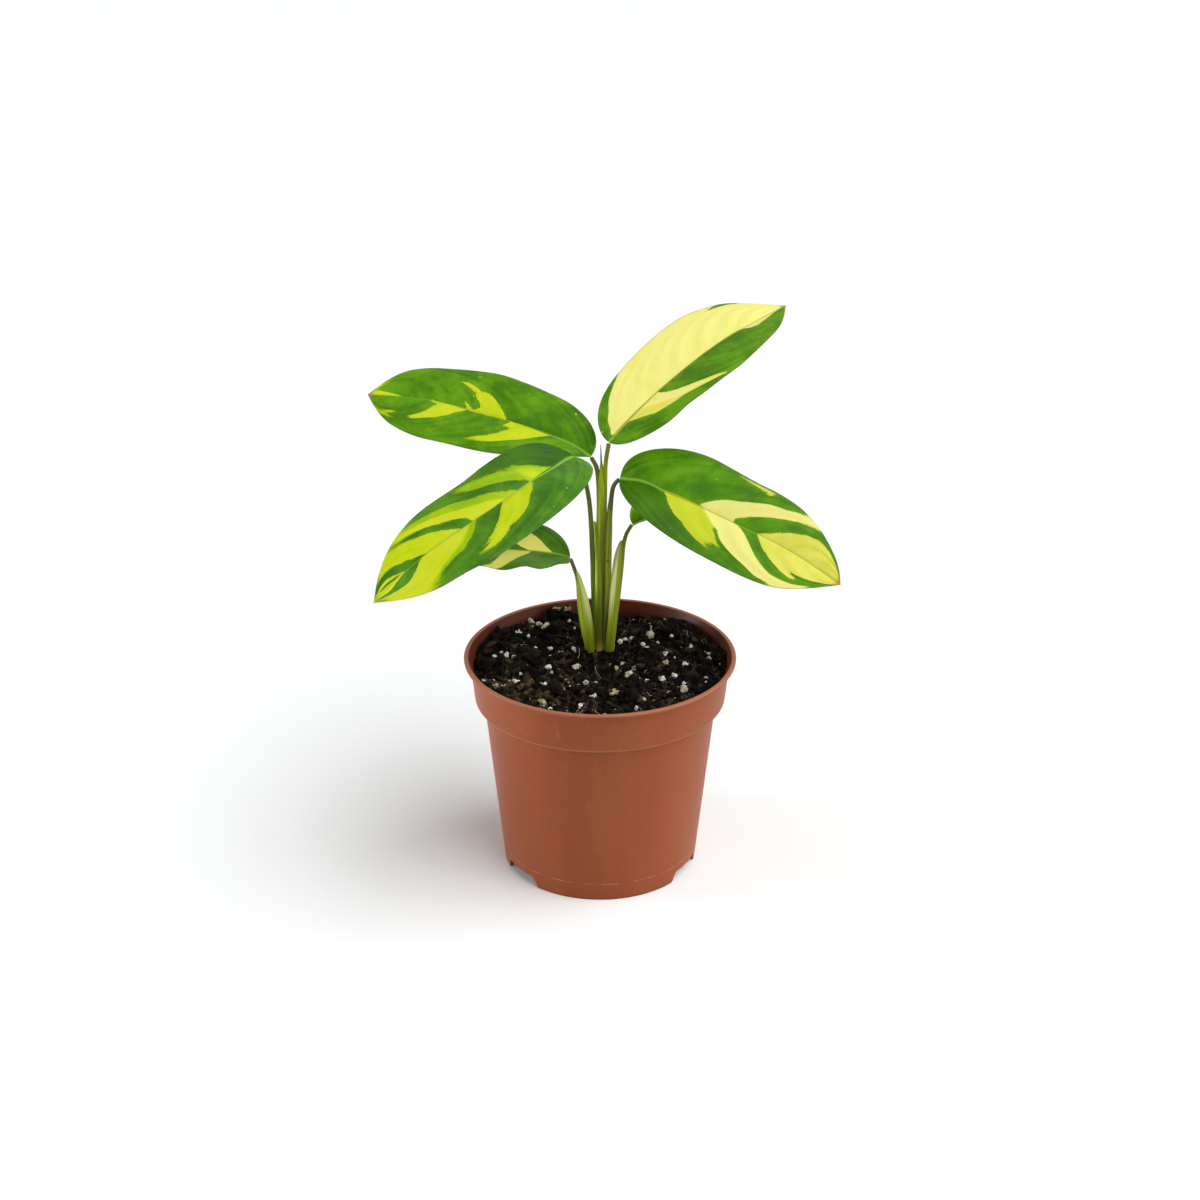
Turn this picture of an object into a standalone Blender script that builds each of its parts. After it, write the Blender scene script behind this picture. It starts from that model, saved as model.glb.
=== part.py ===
"""A young variegated ctenanthe standing in a thin plastic nursery pot.

Metres, +Z up. The pot stands on z = 0 with its axis on x = y = 0, and the plant's best side
faces -Y. Every leaf and every stalk is its own closed body; neighbours keep a 0.3 mm gap.
"""

import math

import bmesh
import bpy
from mathutils import Matrix, Vector

MM = 0.001
SHARP_ANGLE = math.radians(40)
MERGE_DISTANCE = 1e-6

# The pot: a 12 cm nursery pot with a lip, a band under it, and a foot ring with three notches.
POT_SEGMENTS = 60
LIP_RADIUS = 60.0
LIP_INNER_RADIUS = 58.0
POT_HEIGHT = 100.0
LIP_UNDERSIDE = 98.4
BAND_TOP_RADIUS = 57.3
BAND_BOTTOM_RADIUS = 55.5
BAND_BOTTOM = 80.2
WALL_TOP_RADIUS = 51.7
WALL_BOTTOM_RADIUS = 43.5
WALL = 1.1
EDGE = 0.4
FOOT_RING = 1.4
FOOT_HEIGHT = 5.5
PLATE_TOP = 6.6
CORNER_TOP = 7.5
CORNER_RUN = 1.0
WAIST_HEIGHT = 44.0
LEDGE_RISE = 1.2
NOTCH_ANGLES = (-54.5, 62.5, 184.0)
NOTCH_HALF_WIDTH_LOW = 11.6
NOTCH_HALF_WIDTH_HIGH = 8.6
NOTCH_TOP = 5.0
NOTCH_REACH = (36.0, 48.0)
DRAIN_RADIUS = 3.6
DRAIN_CIRCLE = 29.0
DRAIN_COUNT = 6
DRAIN_SEGMENTS = 12
CUT_MARGIN = 1.0

# The soil: an uneven fill, a few millimetres under the lip, with a lump at the back left.
SOIL_SEGMENTS = 40
SOIL_LEVEL = 93.6
SOIL_TOP_RADIUS = 55.1
SOIL_GAP = 0.4
SOIL_RINGS = (1.0, 0.93, 0.83, 0.71, 0.58, 0.45, 0.32, 0.18)
SOIL_LUMPS = (
    # centre x, centre y, reach, height
    (-17.0, 46.0, 8.0, 5.0),
    (33.0, 36.0, 13.0, 3.0),
    (52.0, 6.0, 14.0, 1.6),
    (-47.0, 16.0, 14.0, 3.2),
    (9.0, 50.0, 9.0, -3.0),
    (-4.0, -14.0, 12.0, -1.2),
)
SOIL_RIPPLES = (
    # height, turn per millimetre along x and along y, phase
    (0.6, 0.42, 0.37, 1.0),
    (0.4, 0.95, -0.6, 0.0),
)
CROWN = (0.0, 14.6)
POCKET_HALF_X = 8.0
POCKET_HALF_Y = 6.8
POCKET_FLOOR = 89.0
POCKET_DEPTH = 20.0
POCKET_SEGMENTS = 28

# The blades. Heading turns from +X towards +Y and climb is the slope, in degrees, at even steps
# along the midrib. Roll lifts the right margin and fold lifts both. Each half of the outline has
# its greatest width, how far along the blade that lies, and its base: 0.5 is round, 1 is pointed.
BLADE_STATIONS = 26
MIDRIB_STEPS = 8
BLADE_COLUMNS = 10
BLADE_THICK = 0.8
MARGIN_THICK = 0.5
RIB_DEPTH = 0.9
RIB_FADE_WIDTH = 3.0
CAMBER = 0.05
LEAST_HALF_WIDTH = 0.35
BASE_FULLNESS = 2.6
TIP_FULLNESS = 3.2

LEAVES = {
    "leaf_upper_right": {
        "base": (4.0, 14.0, 193.5),
        "length": 106.0,
        "heading": (37, 35, 30),
        "climb": (39, 26, 10),
        "roll": (-17, -17, -16),
        "fold": (11, 10, 8),
        "left": (20.5, 0.42, 0.5),
        "right": (21.0, 0.5, 0.5),
    },
    "leaf_upper_left": {
        "base": (-4.0, 14.0, 187.0),
        "length": 107.0,
        "heading": (150, 162, 166),
        "climb": (20, 9, -3),
        "roll": (21, 25, 29),
        "fold": (10, 3, 3),
        "left": (24.0, 0.55, 1.0),
        "right": (23.5, 0.52, 0.6),
    },
    "leaf_lower_left": {
        "base": (-11.0, 9.6, 188.5),
        "length": 124.0,
        "heading": (254, 230, 205, 194),
        "climb": (18, -12, -27, -47),
        "roll": (20, 21, 25),
        "fold": (9, 2, 1),
        "left": (21.5, 0.55, 0.5),
        "right": (19.5, 0.58, 0.5),
    },
    "leaf_lower_right": {
        "base": (8.5, 12.5, 177.5),
        "length": 106.0,
        "heading": (-6, -20, -22),
        "climb": (-10, -21, -30),
        "roll": (-31, -34, -37),
        "fold": (10, 4, 4),
        "left": (22.0, 0.42, 0.42),
        "right": (24.0, 0.46, 0.5),
    },
    "leaf_small_left": {
        "base": (-13.2, 14.0, 139.6),
        "length": 60.0,
        "heading": (188, 192, 198),
        "climb": (17, 5, -8),
        "roll": (12, 10, 8),
        "fold": (17, 14, 12),
        "left": (18.5, 0.4, 0.5),
        "right": (17.0, 0.38, 0.5),
    },
    "leaf_small_right": {
        "base": (14.2, 17.4, 154.4),
        "length": 56.0,
        "heading": (22, 22, 18),
        "climb": (22, 14, 3),
        "roll": (-8, -8, -8),
        "fold": (28, 24, 18),
        "left": (12.5, 0.45, 0.5),
        "right": (12.5, 0.45, 0.5),
    },
}

# Stalks: x, y, z, half width across and half depth, from the soil to the blade.
STALK_SIDES = 12
STALK_STEPS = 3
STALKS = {
    "stalk_upper_right": (
        (1.5, 16.2, 89.3, 1.3, 1.3),
        (1.5, 15.9, 112.0, 1.2, 1.2),
        (1.6, 15.2, 140.0, 1.05, 1.05),
        (2.0, 15.0, 162.0, 1.0, 1.0),
        (2.2, 14.7, 176.0, 0.95, 0.95),
        (2.5, 14.3, 184.5, 0.95, 0.95),
        (3.7, 13.9, 192.6, 0.95, 0.9),
    ),
    "stalk_upper_left": (
        (-1.6, 16.2, 89.3, 1.3, 1.3),
        (-1.3, 16.2, 112.0, 1.2, 1.2),
        (-0.9, 16.2, 140.0, 1.1, 1.1),
        (-0.5, 15.8, 162.0, 1.05, 1.0),
        (-0.7, 15.4, 173.5, 1.0, 1.0),
        (-1.5, 15.0, 181.5, 1.0, 0.95),
        (-3.3, 14.2, 186.2, 0.9, 0.9),
    ),
    "stalk_lower_left": (
        (-1.8, 13.2, 89.3, 1.3, 1.3),
        (-2.5, 13.1, 112.0, 1.2, 1.2),
        (-3.3, 13.3, 140.0, 1.1, 1.1),
        (-3.9, 13.6, 156.0, 1.05, 1.05),
        (-4.9, 13.6, 168.0, 1.0, 1.0),
        (-7.0, 12.4, 178.5, 0.95, 0.95),
        (-9.9, 10.6, 185.8, 0.9, 0.9),
    ),
    "stalk_lower_right": (
        (1.7, 13.2, 89.3, 1.3, 1.3),
        (2.8, 13.5, 112.0, 1.2, 1.2),
        (3.6, 13.8, 138.0, 1.1, 1.1),
        (4.2, 14.0, 155.0, 1.0, 1.0),
        (4.9, 13.9, 168.0, 1.0, 1.0),
        (5.9, 13.5, 173.8, 0.95, 0.95),
        (7.7, 12.9, 176.8, 0.9, 0.9),
    ),
    "stalk_small_left": (
        (-4.2, 11.1, 89.3, 1.7, 1.0),
        (-4.7, 11.35, 97.0, 1.9, 1.1),
        (-5.9, 11.6, 105.0, 2.5, 1.1),
        (-7.0, 12.0, 113.0, 2.8, 1.1),
        (-7.9, 12.8, 122.0, 2.5, 1.0),
        (-9.6, 13.4, 129.5, 1.1, 0.95),
        (-11.1, 13.8, 134.0, 0.85, 0.8),
        (-12.7, 14.0, 138.6, 0.8, 0.75),
    ),
    "stalk_small_right": (
        (4.25, 11.1, 89.3, 1.7, 1.0),
        (4.5, 11.35, 98.0, 1.9, 1.1),
        (5.7, 11.8, 111.0, 2.0, 1.1),
        (7.1, 12.4, 122.5, 1.95, 1.0),
        (8.4, 13.6, 136.0, 2.1, 1.0),
        (9.9, 14.6, 145.0, 1.3, 0.9),
        (11.6, 15.8, 150.4, 0.85, 0.8),
        (13.85, 17.3, 153.9, 0.8, 0.75),
    ),
    "spear_leaf": (
        (0.0, 19.0, 89.3, 1.2, 1.2),
        (0.2, 18.7, 112.0, 1.1, 1.1),
        (0.4, 18.4, 140.0, 1.0, 1.0),
        (0.7, 17.8, 162.0, 0.9, 0.9),
        (0.7, 17.3, 176.0, 0.65, 0.65),
        (0.5, 17.1, 184.5, 0.4, 0.4),
        (0.3, 17.0, 191.5, 0.15, 0.15),
    ),
}


def clear_scene():
    for obj in list(bpy.data.objects):
        bpy.data.objects.remove(obj)


def make_material(name, colour, roughness):
    material = bpy.data.materials.new(name)
    material.use_nodes = True
    shader = material.node_tree.nodes["Principled BSDF"]
    shader.inputs["Base Color"].default_value = (*colour, 1.0)
    shader.inputs["Roughness"].default_value = roughness
    shader.inputs["Metallic"].default_value = 0.0
    material.diffuse_color = (*colour, 1.0)
    return material


def add_object(name, bm, material):
    bmesh.ops.recalc_face_normals(bm, faces=bm.faces)
    mesh = bpy.data.meshes.new(name)
    bm.to_mesh(mesh)
    bm.free()
    mesh.shade_smooth()
    mesh.set_sharp_from_angle(angle=SHARP_ANGLE)
    mesh.materials.append(material)
    obj = bpy.data.objects.new(name, mesh)
    bpy.context.scene.collection.objects.link(obj)
    return obj


def subtract(obj, cutter):
    cutter.hide_render = True
    cutter.display_type = "WIRE"
    cut = obj.modifiers.new("cut_" + cutter.name, "BOOLEAN")
    cut.operation = "DIFFERENCE"
    cut.solver = "EXACT"
    cut.object = cutter


def smooth_value(values, t):
    """A smooth curve through evenly spaced values, read at t from 0 to 1."""
    last = len(values) - 1
    x = min(max(t, 0.0), 1.0) * last
    i = min(int(x), last - 1)
    f = x - i
    b = values[i]
    c = values[i + 1]
    a = values[i - 1] if i > 0 else 2 * b - c
    d = values[i + 2] if i + 2 <= last else 2 * c - b
    return b + 0.5 * f * (c - a + f * (2 * a - 5 * b + 4 * c - d + f * (3 * (b - c) + d - a)))


def outline_width(half, s):
    """The width of one half of a blade at s along its midrib."""
    widest, place, base = half
    if s < place:
        width = widest * (1 - (1 - s / place) ** BASE_FULLNESS) ** base
    else:
        width = widest * (1 - ((s - place) / (1 - place)) ** TIP_FULLNESS)
    return max(width, LEAST_HALF_WIDTH)


def blade_axes(leaf, s):
    """The direction of growth, the blade's right side and its upper normal at s along the midrib."""
    heading = math.radians(smooth_value(leaf["heading"], s))
    climb = math.radians(smooth_value(leaf["climb"], s))
    roll = math.radians(smooth_value(leaf["roll"], s))
    ahead = Vector(
        (
            math.cos(climb) * math.cos(heading),
            math.cos(climb) * math.sin(heading),
            math.sin(climb),
        )
    )
    level = Vector((math.sin(heading), -math.cos(heading), 0.0))
    above = level.cross(ahead)
    side = level * math.cos(roll) + above * math.sin(roll)
    normal = above * math.cos(roll) - level * math.sin(roll)
    return ahead, side, normal


def midrib_points(leaf, steps):
    """Points down the midrib, closer together at the base and the tip."""
    total = steps * MIDRIB_STEPS
    place = Vector(leaf["base"])
    points = [place.copy()]
    before = 0.0
    for k in range(1, total + 1):
        now = (1 - math.cos(math.pi * k / total)) / 2
        ahead = blade_axes(leaf, (before + now) / 2)[0]
        place = place + ahead * (leaf["length"] * (now - before))
        before = now
        if k % MIDRIB_STEPS == 0:
            points.append(place.copy())
    return points


def blade_point(leaf, centre, axes, width, u, fold):
    """A point of the middle surface: u runs from -1 at the left margin to 1 at the right."""
    _, side, normal = axes
    reach = abs(u) * width
    lift = reach * math.sin(fold) + CAMBER * width * 4 * abs(u) * (1 - abs(u))
    return centre + side * (math.copysign(1, u) * reach * math.cos(fold)) + normal * lift


def blade(name, leaf, material):
    """A thin curved solid with a rib along its underside."""
    bm = bmesh.new()
    half = BLADE_COLUMNS // 2
    rings = []
    for k, centre in enumerate(midrib_points(leaf, BLADE_STATIONS)):
        s = (1 - math.cos(math.pi * k / BLADE_STATIONS)) / 2
        axes = blade_axes(leaf, s)
        fold = math.radians(smooth_value(leaf["fold"], s))
        left = outline_width(leaf["left"], s)
        right = outline_width(leaf["right"], s)
        upper = []
        lower = []
        for j in range(-half, half + 1):
            u = j / half
            width = left if u < 0 else right
            middle = blade_point(leaf, centre, axes, width, u, fold)
            thick = BLADE_THICK + (MARGIN_THICK - BLADE_THICK) * u * u
            under = thick / 2
            if j == 0:
                under += RIB_DEPTH * (1 - s) * min(1.0, left / RIB_FADE_WIDTH)
            upper.append(bm.verts.new((middle + axes[2] * (thick / 2)) * MM))
            lower.append(bm.verts.new((middle - axes[2] * under) * MM))
        rings.append(upper + lower[::-1])
    close_rings(bm, rings)
    return add_object(name, bm, material)


def close_rings(bm, rings):
    """Skins neighbouring rings of points and caps the first and the last."""
    count = len(rings[0])
    for a, b in zip(rings, rings[1:]):
        for j in range(count):
            k = (j + 1) % count
            bm.faces.new((a[j], a[k], b[k], b[j]))
    bm.faces.new(rings[0][::-1])
    bm.faces.new(rings[-1])


def stalk(name, stations, material):
    """A tapering stalk through the given stations, with its section square to its path."""
    bm = bmesh.new()
    steps = STALK_STEPS * (len(stations) - 1)
    columns = list(zip(*stations))
    path = []
    for k in range(steps + 1):
        path.append([smooth_value(column, k / steps) for column in columns])
    rings = []
    for k, (x, y, z, half_width, half_depth) in enumerate(path):
        before = Vector(path[max(k - 1, 0)][:3])
        after = Vector(path[min(k + 1, steps)][:3])
        along = (after - before).normalized()
        if k == 0:
            along = Vector((0, 0, 1))
        back = Vector((0, 1, 0))
        back = (back - along * back.dot(along)).normalized()
        across = back.cross(along)
        ring = []
        for j in range(STALK_SIDES):
            angle = 2 * math.pi * j / STALK_SIDES
            offset = across * (math.cos(angle) * half_width) + back * (math.sin(angle) * half_depth)
            ring.append(bm.verts.new((Vector((x, y, z)) + offset) * MM))
        rings.append(ring)
    close_rings(bm, rings)
    return add_object(name, bm, material)


def lathe(profile, segments):
    """A closed body from an (r, z) profile that starts and ends on the axis."""
    bm = bmesh.new()
    verts = [bm.verts.new((r * MM, 0, z * MM)) for r, z in profile]
    edges = [bm.edges.new(pair) for pair in zip(verts, verts[1:])]
    bmesh.ops.spin(
        bm,
        geom=verts + edges,
        axis=(0, 0, 1),
        cent=(0, 0, 0),
        angle=2 * math.pi,
        steps=segments,
    )
    bmesh.ops.remove_doubles(bm, verts=bm.verts, dist=MERGE_DISTANCE)
    return bm


def wall_radius(z):
    """The outer radius of the wall below the band."""
    return WALL_BOTTOM_RADIUS + (WALL_TOP_RADIUS - WALL_BOTTOM_RADIUS) * z / BAND_BOTTOM


def pot_body(material):
    """The turned pot: along the base, up the outside, over the lip and down the inside."""
    profile = (
        (0.0, FOOT_HEIGHT),
        (wall_radius(FOOT_HEIGHT) - FOOT_RING, FOOT_HEIGHT),
        (wall_radius(0.0) - FOOT_RING, 0.0),
        (wall_radius(0.0) - EDGE, 0.0),
        (wall_radius(EDGE), EDGE),
        (wall_radius(CORNER_TOP), CORNER_TOP),
        (wall_radius(WAIST_HEIGHT), WAIST_HEIGHT),
        (WALL_TOP_RADIUS, BAND_BOTTOM - EDGE),
        (WALL_TOP_RADIUS + EDGE, BAND_BOTTOM),
        (BAND_BOTTOM_RADIUS - EDGE, BAND_BOTTOM),
        (BAND_BOTTOM_RADIUS, BAND_BOTTOM + EDGE),
        (BAND_TOP_RADIUS, LIP_UNDERSIDE),
        (LIP_RADIUS - EDGE, LIP_UNDERSIDE),
        (LIP_RADIUS, LIP_UNDERSIDE + EDGE),
        (LIP_RADIUS, POT_HEIGHT - EDGE),
        (LIP_RADIUS - EDGE, POT_HEIGHT),
        (LIP_INNER_RADIUS + EDGE, POT_HEIGHT),
        (LIP_INNER_RADIUS, POT_HEIGHT - EDGE),
        (BAND_TOP_RADIUS - WALL, LIP_UNDERSIDE - LEDGE_RISE),
        (BAND_BOTTOM_RADIUS - WALL, BAND_BOTTOM + LEDGE_RISE),
        (WALL_TOP_RADIUS - WALL, BAND_BOTTOM + EDGE),
        (wall_radius(WAIST_HEIGHT) - WALL, WAIST_HEIGHT),
        (wall_radius(CORNER_TOP) - WALL, CORNER_TOP),
        (wall_radius(PLATE_TOP) - WALL - CORNER_RUN, PLATE_TOP),
        (0.0, PLATE_TOP),
    )
    return add_object("pot", lathe(profile, POT_SEGMENTS), material)


def notch_cutter(index, angle, material):
    """A wedge that opens the foot ring, wider at the floor than at its top."""
    bm = bmesh.new()
    corners = []
    for radius in NOTCH_REACH:
        for half_width, z in (
            (NOTCH_HALF_WIDTH_LOW, -CUT_MARGIN),
            (NOTCH_HALF_WIDTH_HIGH, NOTCH_TOP),
        ):
            for sign in (-1, 1):
                corners.append(bm.verts.new((sign * half_width * MM, -radius * MM, z * MM)))
    bmesh.ops.convex_hull(bm, input=corners)
    turn = Matrix.Rotation(math.radians(angle), 3, "Z")
    bmesh.ops.rotate(bm, verts=bm.verts, cent=(0, 0, 0), matrix=turn)
    return add_object("notch_cutter_%d" % index, bm, material)


def drain_cutter(material):
    """Seven round drain holes: one in the middle of the base plate and a ring of six."""
    bm = bmesh.new()
    middle = (PLATE_TOP + FOOT_HEIGHT) / 2 * MM
    centres = [(0.0, 0.0)]
    for k in range(DRAIN_COUNT):
        angle = 2 * math.pi * (k + 0.5) / DRAIN_COUNT
        centres.append((DRAIN_CIRCLE * math.sin(angle), -DRAIN_CIRCLE * math.cos(angle)))
    for x, y in centres:
        bmesh.ops.create_cone(
            bm,
            cap_ends=True,
            segments=DRAIN_SEGMENTS,
            radius1=DRAIN_RADIUS * MM,
            radius2=DRAIN_RADIUS * MM,
            depth=(PLATE_TOP - FOOT_HEIGHT + 2 * CUT_MARGIN) * MM,
            matrix=Matrix.Translation((x * MM, y * MM, middle)),
        )
    return add_object("drain_cutter", bm, material)


def bump(x, y, centre_x, centre_y, reach, height):
    """A smooth rise in the soil."""
    away = ((x - centre_x) ** 2 + (y - centre_y) ** 2) / reach**2
    return height * math.exp(-away)


def soil_height(x, y):
    height = SOIL_LEVEL
    for lump in SOIL_LUMPS:
        height += bump(x, y, *lump)
    for tall, along_x, along_y, phase in SOIL_RIPPLES:
        height += tall * math.sin(along_x * x + along_y * y + phase)
    return height


def soil_body(material):
    """The fill, from the base plate up to its uneven top, following the inside of the pot."""
    gap = SOIL_GAP
    side = (
        (wall_radius(PLATE_TOP) - WALL - CORNER_RUN - 2 * gap, PLATE_TOP + gap),
        (wall_radius(CORNER_TOP) - WALL - gap, CORNER_TOP + 2 * gap),
        (wall_radius(WAIST_HEIGHT) - WALL - gap, WAIST_HEIGHT),
        (WALL_TOP_RADIUS - WALL - gap, BAND_BOTTOM + EDGE + gap),
        (BAND_BOTTOM_RADIUS - WALL - gap, BAND_BOTTOM + LEDGE_RISE + gap),
    )
    bm = bmesh.new()
    rings = []
    for radius, z in side:
        rings.append([])
        for k in range(SOIL_SEGMENTS):
            angle = 2 * math.pi * k / SOIL_SEGMENTS
            place = (radius * math.cos(angle) * MM, radius * math.sin(angle) * MM, z * MM)
            rings[-1].append(bm.verts.new(place))
    for share in SOIL_RINGS:
        rings.append([])
        for k in range(SOIL_SEGMENTS):
            angle = 2 * math.pi * k / SOIL_SEGMENTS
            x = SOIL_TOP_RADIUS * share * math.cos(angle)
            y = SOIL_TOP_RADIUS * share * math.sin(angle)
            rings[-1].append(bm.verts.new((x * MM, y * MM, soil_height(x, y) * MM)))
    close_rings(bm, rings)
    return add_object("soil", bm, material)


def pocket_cutter(material):
    """The dent in the soil that the foot of every stalk stands in."""
    bm = bmesh.new()
    bmesh.ops.create_cone(
        bm,
        cap_ends=True,
        segments=POCKET_SEGMENTS,
        radius1=1.0,
        radius2=1.0,
        depth=POCKET_DEPTH * MM,
    )
    stretch = (POCKET_HALF_X * MM, POCKET_HALF_Y * MM, 1.0)
    bmesh.ops.scale(bm, vec=stretch, verts=bm.verts)
    place = (CROWN[0] * MM, CROWN[1] * MM, (POCKET_FLOOR + POCKET_DEPTH / 2) * MM)
    bmesh.ops.translate(bm, vec=place, verts=bm.verts)
    return add_object("pocket_cutter", bm, material)


def main():
    clear_scene()
    pot_plastic = make_material("pot_plastic", (0.42, 0.12, 0.055), 0.45)
    potting_soil = make_material("potting_soil", (0.02, 0.014, 0.01), 0.95)
    stalk_green = make_material("stalk_green", (0.14, 0.19, 0.03), 0.5)
    leaf_green = make_material("leaf_variegated", (0.14, 0.32, 0.02), 0.45)

    pot = pot_body(pot_plastic)
    for index, angle in enumerate(NOTCH_ANGLES, start=1):
        subtract(pot, notch_cutter(index, angle, pot_plastic))
    subtract(pot, drain_cutter(pot_plastic))
    soil = soil_body(potting_soil)
    subtract(soil, pocket_cutter(potting_soil))
    for name, stations in STALKS.items():
        stalk(name, stations, stalk_green)
    for name, leaf in LEAVES.items():
        blade(name, leaf, leaf_green)


main()
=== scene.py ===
"""The looks of the potted ctenanthe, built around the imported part.

Lengths are in millimetres and MM turns them into metres. Only the camera, the lights, the
floor and the depths of bumps are given in metres. The plant's best side faces -Y.
"""

import math
import random

import bmesh
import bpy
import numpy as np
from mathutils import Matrix, Vector, noise


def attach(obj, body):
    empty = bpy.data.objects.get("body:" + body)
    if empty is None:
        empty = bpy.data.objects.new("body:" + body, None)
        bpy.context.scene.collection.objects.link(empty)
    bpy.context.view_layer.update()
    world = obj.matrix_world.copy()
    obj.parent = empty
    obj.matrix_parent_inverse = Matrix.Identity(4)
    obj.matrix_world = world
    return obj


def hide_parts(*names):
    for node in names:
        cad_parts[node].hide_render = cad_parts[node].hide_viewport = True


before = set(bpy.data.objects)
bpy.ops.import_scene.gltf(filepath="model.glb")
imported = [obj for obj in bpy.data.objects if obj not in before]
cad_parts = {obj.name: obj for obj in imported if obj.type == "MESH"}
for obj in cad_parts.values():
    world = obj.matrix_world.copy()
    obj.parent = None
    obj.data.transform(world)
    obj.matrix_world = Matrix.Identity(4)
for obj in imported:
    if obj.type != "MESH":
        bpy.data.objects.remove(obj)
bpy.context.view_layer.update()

MM = 0.001
BODY = "root"

# The mesh of a blade, and the forms on it. CROWDING above 1 draws the columns to the midrib,
# FULLNESS rounds the outline out, and a half narrower than SLENDER has a smaller midrib too.
BLADE_STATIONS = 210
BLADE_COLUMNS = 78
MIDRIB_STEPS = 840
MIDRIB_CROWDING = 1.3
BLADE_THICK = 0.42
MARGIN_THICK = 0.26
CAMBER = 0.05
LEAST_HALF_WIDTH = 0.3
BASE_FULLNESS = 2.6
TIP_FULLNESS = 3.2
SLENDER = 4.0
RIB_DEPTH = 1.0
RIB_WIDTH = 0.85
RIB_TAPER = 0.85
GROOVE_DEPTH = 0.2
GROOVE_WIDTH = 0.55
VEIN_SPACING = 2.1
VEIN_HEIGHT = 0.014
VEIN_START = 3.0
SWELL_SPACING = 13.0
SWELL_HEIGHT = 0.16

# The two halves of a blade differ in where their waves, swells and noise begin.
WAVE_STAGGER = 0.23
SWELL_STAGGER = 0.37
HALVES_APART = 400.0

# Lateral veins leave the midrib and lean towards the tip: at u across the blade, a vein has
# moved on by LEAN * u + BEND * u ** 3 of the length.
VEIN_LEAN = 0.12
VEIN_BEND = 0.3

# The variegation is worked out on a flat blade that is this wide from midrib to margin. Tints
# blend over TINT_BLEND, a patch's tint reaches TINT_REACH past it, and OUTSIDE is far from all.
FLAT_WIDTH = 20.0
TINT_BLEND = 1.3
TINT_REACH = 1.0
OUTSIDE = -40.0

LEFT = -1
RIGHT = 1

# Tints of the pale patches, as places on the ramp PALES.
CREAM = 1.0
BUFF = 0.8
PALE_YELLOW = 0.78
YELLOW_GREEN = 0.54
LIME = 0.45
FRESH_LIME = 0.36
PALE_GREEN = 0.24
GREEN = None
PALES = (
    (0.0, (0.15, 0.33, 0.006)), (0.22, (0.28, 0.46, 0.006)), (0.42, (0.5, 0.615, 0.006)),
    (0.66, (0.61, 0.64, 0.035)), (0.84, (0.75, 0.72, 0.125)), (1.0, (0.83, 0.79, 0.23)),
)

# A place past the tip, in per cent of the length.
BEYOND = 200

# The blades repeat the part's own values, apart from small changes that only the looks have.
# base, length: where the midrib begins and how long it is.
# heading, climb, roll, fold: in degrees, evenly spaced along the blade. Heading turns from +X
#   towards +Y, climb is the slope, roll lifts the right margin and fold lifts both.
# left, right: each half's greatest width, how far along that lies, and how round its base is.
# trim_left, trim_right: what is left of the outline's width at each tenth of the length.
# rib: how far the midrib strays to the right of the middle, in millimetres, at each tenth.
# wave: how high the margins wave, how many times, and where the wave begins.
# greens, tip_tint: the darkest and lightest green, and the colour of the very tip.
# shade: painted shade, the half that is darker near the base, how much, and where this begins to
# fade and ends.
# wash: how much of a colour lies over the pale patches, and that colour.
# patches: a tint and the corners of its outline, as per cent of the length and of the width of
#   the half that each lies on, the left one negative. Sides between corners follow the veins.
#   A GREEN patch takes away from the ones before it.
EVEN = (1,) * 11
STRAIGHT = (0,) * 11
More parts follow.
